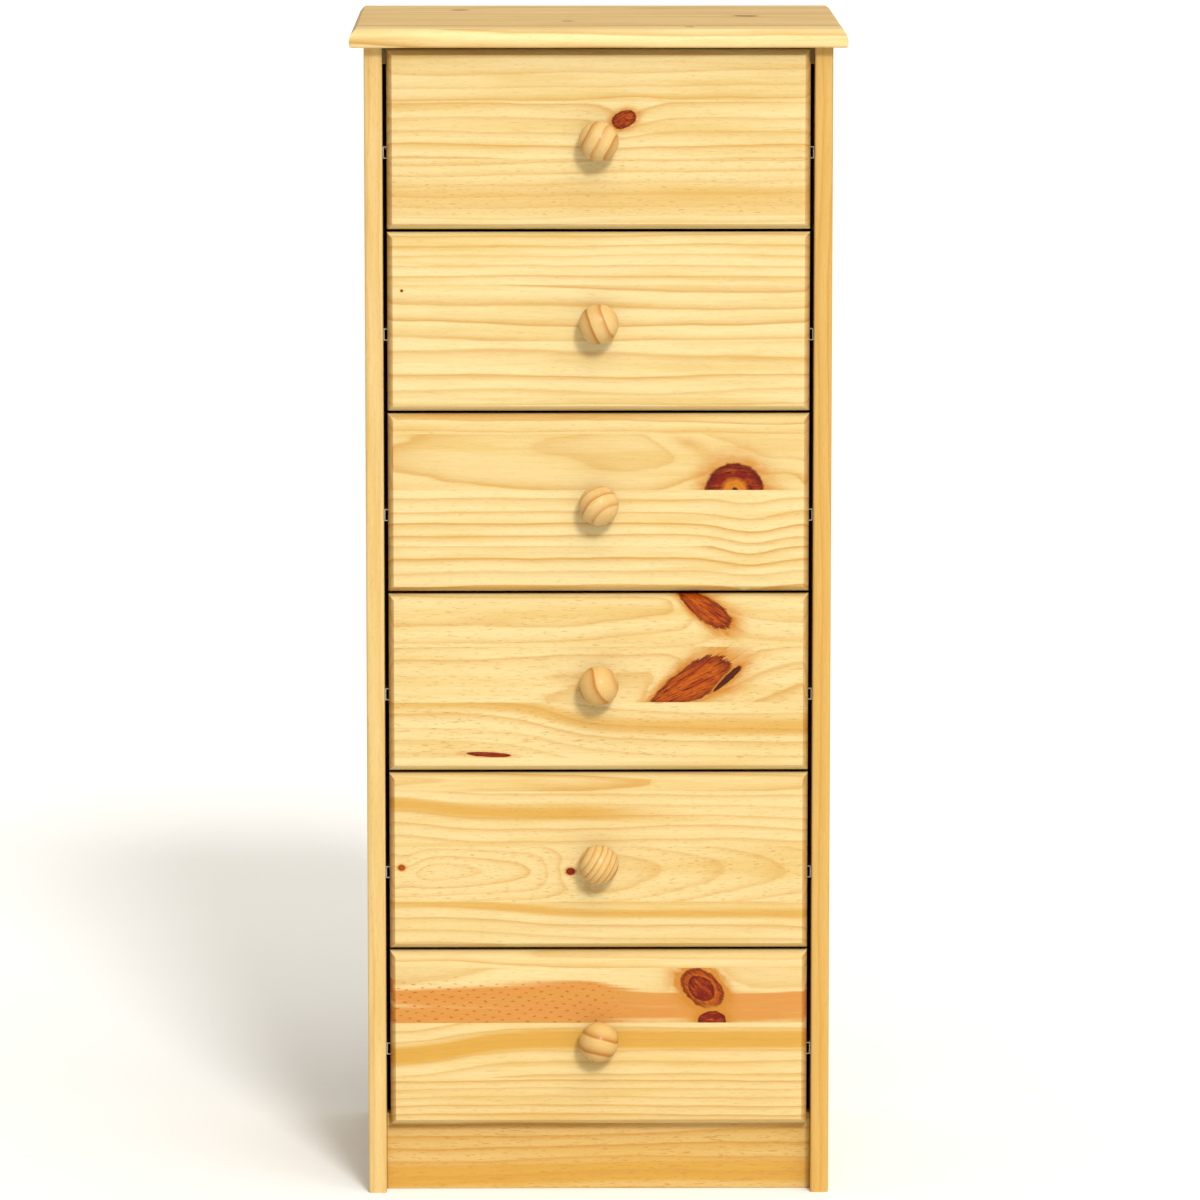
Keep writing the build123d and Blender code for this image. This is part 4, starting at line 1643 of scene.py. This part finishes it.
@dataclass(frozen=True)
class Carcass:
    """Top, sides, plinths, rails, back and runners."""

    nose_inset: float = 7.0
    nose_drop: float = 12.0
    nose_lower: float = 2.5
    side_round: float = 2.5
    plinth_round: float = 1.0
    rebate: tuple[float, float] = (9.0, 3.0)
    thickness: float = 18.0
    top_palette: Palette = Palette(
        cream=(0.720, 0.575, 0.285), tan=(0.590, 0.420, 0.165),
        amber=(0.510, 0.290, 0.055), ring=(0.400, 0.200, 0.032),
    )

    def top(self) -> bpy.types.Object:
        """The top board, with its nosing at the front and the sides.

        Returns:
            The piece.
        """
        low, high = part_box("top_panel")
        edge = Edge.nosed(self.nose_inset, self.nose_drop, self.nose_lower, self.thickness)
        slab = Slab(Grain.TOP, tuple(low), tuple(high), edge, weights=(1.0, 1.0, 1.0, 0.08))
        points, faces, _ = slab.surface()
        centre = ((low.x + high.x) / 2, (low.y + high.y) / 2, high.z)
        staves = RolledStaves(
            61.0, first=-184.0, tone=(0.0, 0.50), contrast=(0.8, 1.2), spacing=(9.0, 20.0), wave=8.0
        )
        knots = (
            Knot(-140, 120, 9, 7, tilt=10, heart=0.25),
            Knot(150, 20, 12, 9, tilt=-15, heart=0.3),
            Knot(-30, -60, 6, 5, heart=0.15),
            Knot(90, -150, 5, 4, heart=0.15, swell=6),
        )
        finish = PineFinish("pine_top", Grain.TOP, centre, staves, knots, palette=self.top_palette)
        piece = make_piece("nosed_top", points, faces, finish.material())
        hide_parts("top_panel")
        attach(piece, CARCASS)
        return piece

    def side(self, name: str) -> bpy.types.Object:
        """One side board, with eased edges at the front and the foot and a rebate for the back.

        Args:
            name: Left or right.

        Returns:
            The piece.
        """
        look = SIDE_LOOKS[name]
        node = f"side_panel_{name}"
        low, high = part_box(node)
        edge = Edge.eased(self.side_round, self.thickness)
        weights = (1.0, 0.1, 1.0, 0.1)
        slab = Slab(look.grain, tuple(low), tuple(high), edge, weights, rebate=self.rebate)
        points, faces, _ = slab.surface()
        outer = low.x if look.grain is Grain.LEFT_SIDE else high.x
        centre = (outer, (low.y + high.y) / 2, (low.z + high.z) / 2)
        staves = RolledStaves(
            look.seed, first=-169.0, tone=look.tone, contrast=(0.60, 0.95), spacing=(5.0, 13.0),
            first_extra=look.first_extra,
        )
        finish = PineFinish(f"pine_{node}", look.grain, centre, staves, self.side_knots(int(look.seed)))
        piece = make_piece(f"eased_side_{name}", points, faces, finish.material())
        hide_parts(node)
        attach(piece, CARCASS)
        return piece

    def side_knots(self, seed: int) -> tuple[Knot, ...]:
        """Knots spread down a side board, one in each stretch of it, away from the front edge.

        Args:
            seed: Number that sets the draw.

        Returns:
            The knots.
        """
        draw = np.random.default_rng(seed)
        stretches = np.linspace(-520, 520, 8)
        return tuple(
            Knot(
                float(low + draw.uniform(20, 110)), float(draw.uniform(-110, 160)),
                float(draw.uniform(6, 15)), float(draw.uniform(5, 10)),
                float(draw.uniform(-25, 25)), heart=float(draw.uniform(0.1, 0.35)),
            )
            for low in stretches[:-1]
        )

    def plinth(self) -> bpy.types.Object:
        """The front plinth, one amber board with bold lines.

        Returns:
            The piece.
        """
        low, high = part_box("plinth_front")
        slab = Slab(Grain.FRONT, tuple(low), tuple(high), Edge.eased(self.plinth_round, self.thickness))
        points, faces, owners = slab.surface()
        middle = (low.z + high.z) / 2
        stave = Stave(
            -70, 24, 13.0, slope=0.02, wave=5, tone=0.64, contrast=1.15, bend=(-60, 7, 90),
            band=(-24, 10), band_strength=0.7, flecks=0.8, seed=27.1,
        )
        staves = SetStaves((stave,))
        finish = PineFinish("pine_plinth_front", Grain.FRONT, (0.0, low.y, middle), staves)
        piece = make_piece("plinth_board", points, faces, finish.material())
        carry_staves(piece, owners, staves.values(np.array([middle])))
        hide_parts("plinth_front")
        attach(piece, CARCASS)
        return piece

    def hidden_boards(self) -> None:
        """Finish of the rear plinth and of the rails under the top."""
        for number, node in enumerate(("plinth_rear", "rail_top_front", "rail_top_rear")):
            staves = RolledStaves(
                95.0 + 2 * number, width=600.0, first=-300.0, tone=(0.05, 0.20), flecks=0.5
            )
            low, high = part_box(node)
            centre = (0.0, low.y, (low.z + high.z) / 2)
            set_finish(node, PineFinish(f"pine_{node}", Grain.FRONT, centre, staves).material())
            log.info("%s dressed", node)

    def metal_and_sheet(self) -> None:
        """Finish of the runners, the back and the fixings."""
        zinc = SteelFinish("zinc_runner", (0.36, 0.38, 0.40), (0.66, 0.68, 0.70)).material()
        set_finish("drawer_runners", zinc)
        set_finish("back_panel", HardboardFinish().material())
        set_finish("carcass_dowels", BeechFinish().material())
        steel = SteelFinish("bright_fixings", *BRIGHT_STEEL).material()
        set_finish("carcass_screws", steel)
        set_finish("back_nails", steel)
        log.info("runners, back and fixings dressed")


# ------------------------------------------------------------------------------ studio
@dataclass(frozen=True)
class Studio:
    """Pale floor, soft light and the camera.

    Attributes:
        distance: Camera in front of the chest's centre, in metres.
        height: Camera above the floor.
        aside: Camera to the left of the chest's centre line, as a negative number.
        pitch: Tilt below level, in degrees.
        yaw: Turn to the right, in degrees.
        lens: Focal length, in millimetres, on a sensor 36 mm wide.
    """

    distance: float = 7.0
    height: float = 1.608
    aside: float = -0.055
    pitch: float = 8.37
    yaw: float = 0.473
    lens: float = 208.4
    key_from: tuple[float, float, float] = (0.25, -1.0, 0.66)
    key_strength: float = 2.40
    key_softness: float = 11.0
    top_from: tuple[float, float, float] = (0.25, -0.62, 1.0)
    top_strength: float = 1.15
    top_softness: float = 50.0
    fill_left: float = 0.30
    fill_right: float = 0.62
    fill_above: float = 0.40
    fill_colour: Colour = (1.0, 0.935, 0.82)
    floor_reach: float = 60.0

    def camera(self) -> None:
        """Place the camera."""
        data = bpy.data.cameras.new("studio_camera")
        data.lens = self.lens
        data.sensor_width = 36.0
        data.clip_end = 300.0
        camera = bpy.data.objects.new("studio_camera", data)
        camera.location = (self.aside, -self.distance, self.height)
        camera.rotation_euler = (math.radians(90.0 - self.pitch), 0.0, -math.radians(self.yaw))
        bpy.context.scene.collection.objects.link(camera)
        bpy.context.scene.camera = camera

    def lamp(self, name: str, source: tuple[float, float, float], strength: float, softness: float) -> None:
        """A large soft lamp, far away.

        Args:
            name: Its name.
            source: Direction from the chest towards it.
            strength: Its strength.
            softness: Angle that it fills in the sky, in degrees.
        """
        data = bpy.data.lights.new(name, "SUN")
        data.energy = strength
        data.angle = math.radians(softness)
        lamp = bpy.data.objects.new(name, data)
        lamp.rotation_euler = Vector(source).to_track_quat("Z", "Y").to_euler()
        bpy.context.scene.collection.objects.link(lamp)

    def fill(self) -> None:
        """Soft surroundings, darker on the left and brighter above, which a camera sees as plain white."""
        world = bpy.data.worlds.new("studio_fill")
        world.use_nodes = True
        graph = Graph(world.node_tree)
        x, _, z = graph.parts(graph.node("TexCoord").outputs["Generated"])
        level = graph.scaled(graph.step(x, -0.9, 0.9), self.fill_left, self.fill_right)
        level = graph.add(level, graph.mul(graph.step(z, 0.1, 1.0), self.fill_above))
        seen = graph.node("LightPath").outputs["Is Camera Ray"]
        level = graph.add(graph.mul(level, graph.sub(1.0, seen)), seen)
        graph.feed(world.node_tree.nodes["Background"].inputs["Strength"], level)
        tint = graph.mix(seen, self.fill_colour, (1.0, 1.0, 1.0))
        graph.feed(world.node_tree.nodes["Background"].inputs["Color"], tint)
        bpy.context.scene.world = world

    def floor(self) -> None:
        """A plain pale floor."""
        reach = self.floor_reach
        points = np.array([
            [-reach, -reach, 0.0], [reach, -reach, 0.0], [reach, reach, 0.0], [-reach, reach, 0.0],
        ])
        made, graph, shader = new_material("pale_floor")
        x, y, _ = graph.place()
        cloud = graph.noise(graph.vector(graph.mul(x, 3.0), graph.mul(y, 3.0), 0.0), 2.0)
        graph.feed(shader.inputs["Base Color"], graph.mix(cloud, (0.80, 0.80, 0.795), (0.83, 0.83, 0.825)))
        graph.feed(shader.inputs["Roughness"], graph.scaled(cloud, 0.75, 0.85))
        floor = make_piece("studio_floor", points, np.array([[0, 1, 2, 3]]), made)

    def build(self) -> None:
        """Camera, lights and floor, with plain colour handling."""
        self.camera()
        self.lamp("key_light", self.key_from, self.key_strength, self.key_softness)
        self.lamp("top_light", self.top_from, self.top_strength, self.top_softness)
        self.fill()
        self.floor()
        bpy.context.scene.view_settings.view_transform = "Standard"
        log.info("studio ready")


def main() -> None:
    """Build every sub-assembly in order."""
    Studio().build()
    carcass = Carcass()
    log.info("made %s", carcass.top().name)
    for name in SIDE_LOOKS:
        log.info("made %s", carcass.side(name).name)
    log.info("made %s", carcass.plinth().name)
    carcass.hidden_boards()
    carcass.metal_and_sheet()
    fronts = DrawerFronts()
    knobs = Knobs()
    for number in DRAWERS:
        log.info("made %s and %s", fronts.build(number).name, knobs.build(number).name)
    DrawerBoxes().dress()


if __name__ == "__main__":
    main()
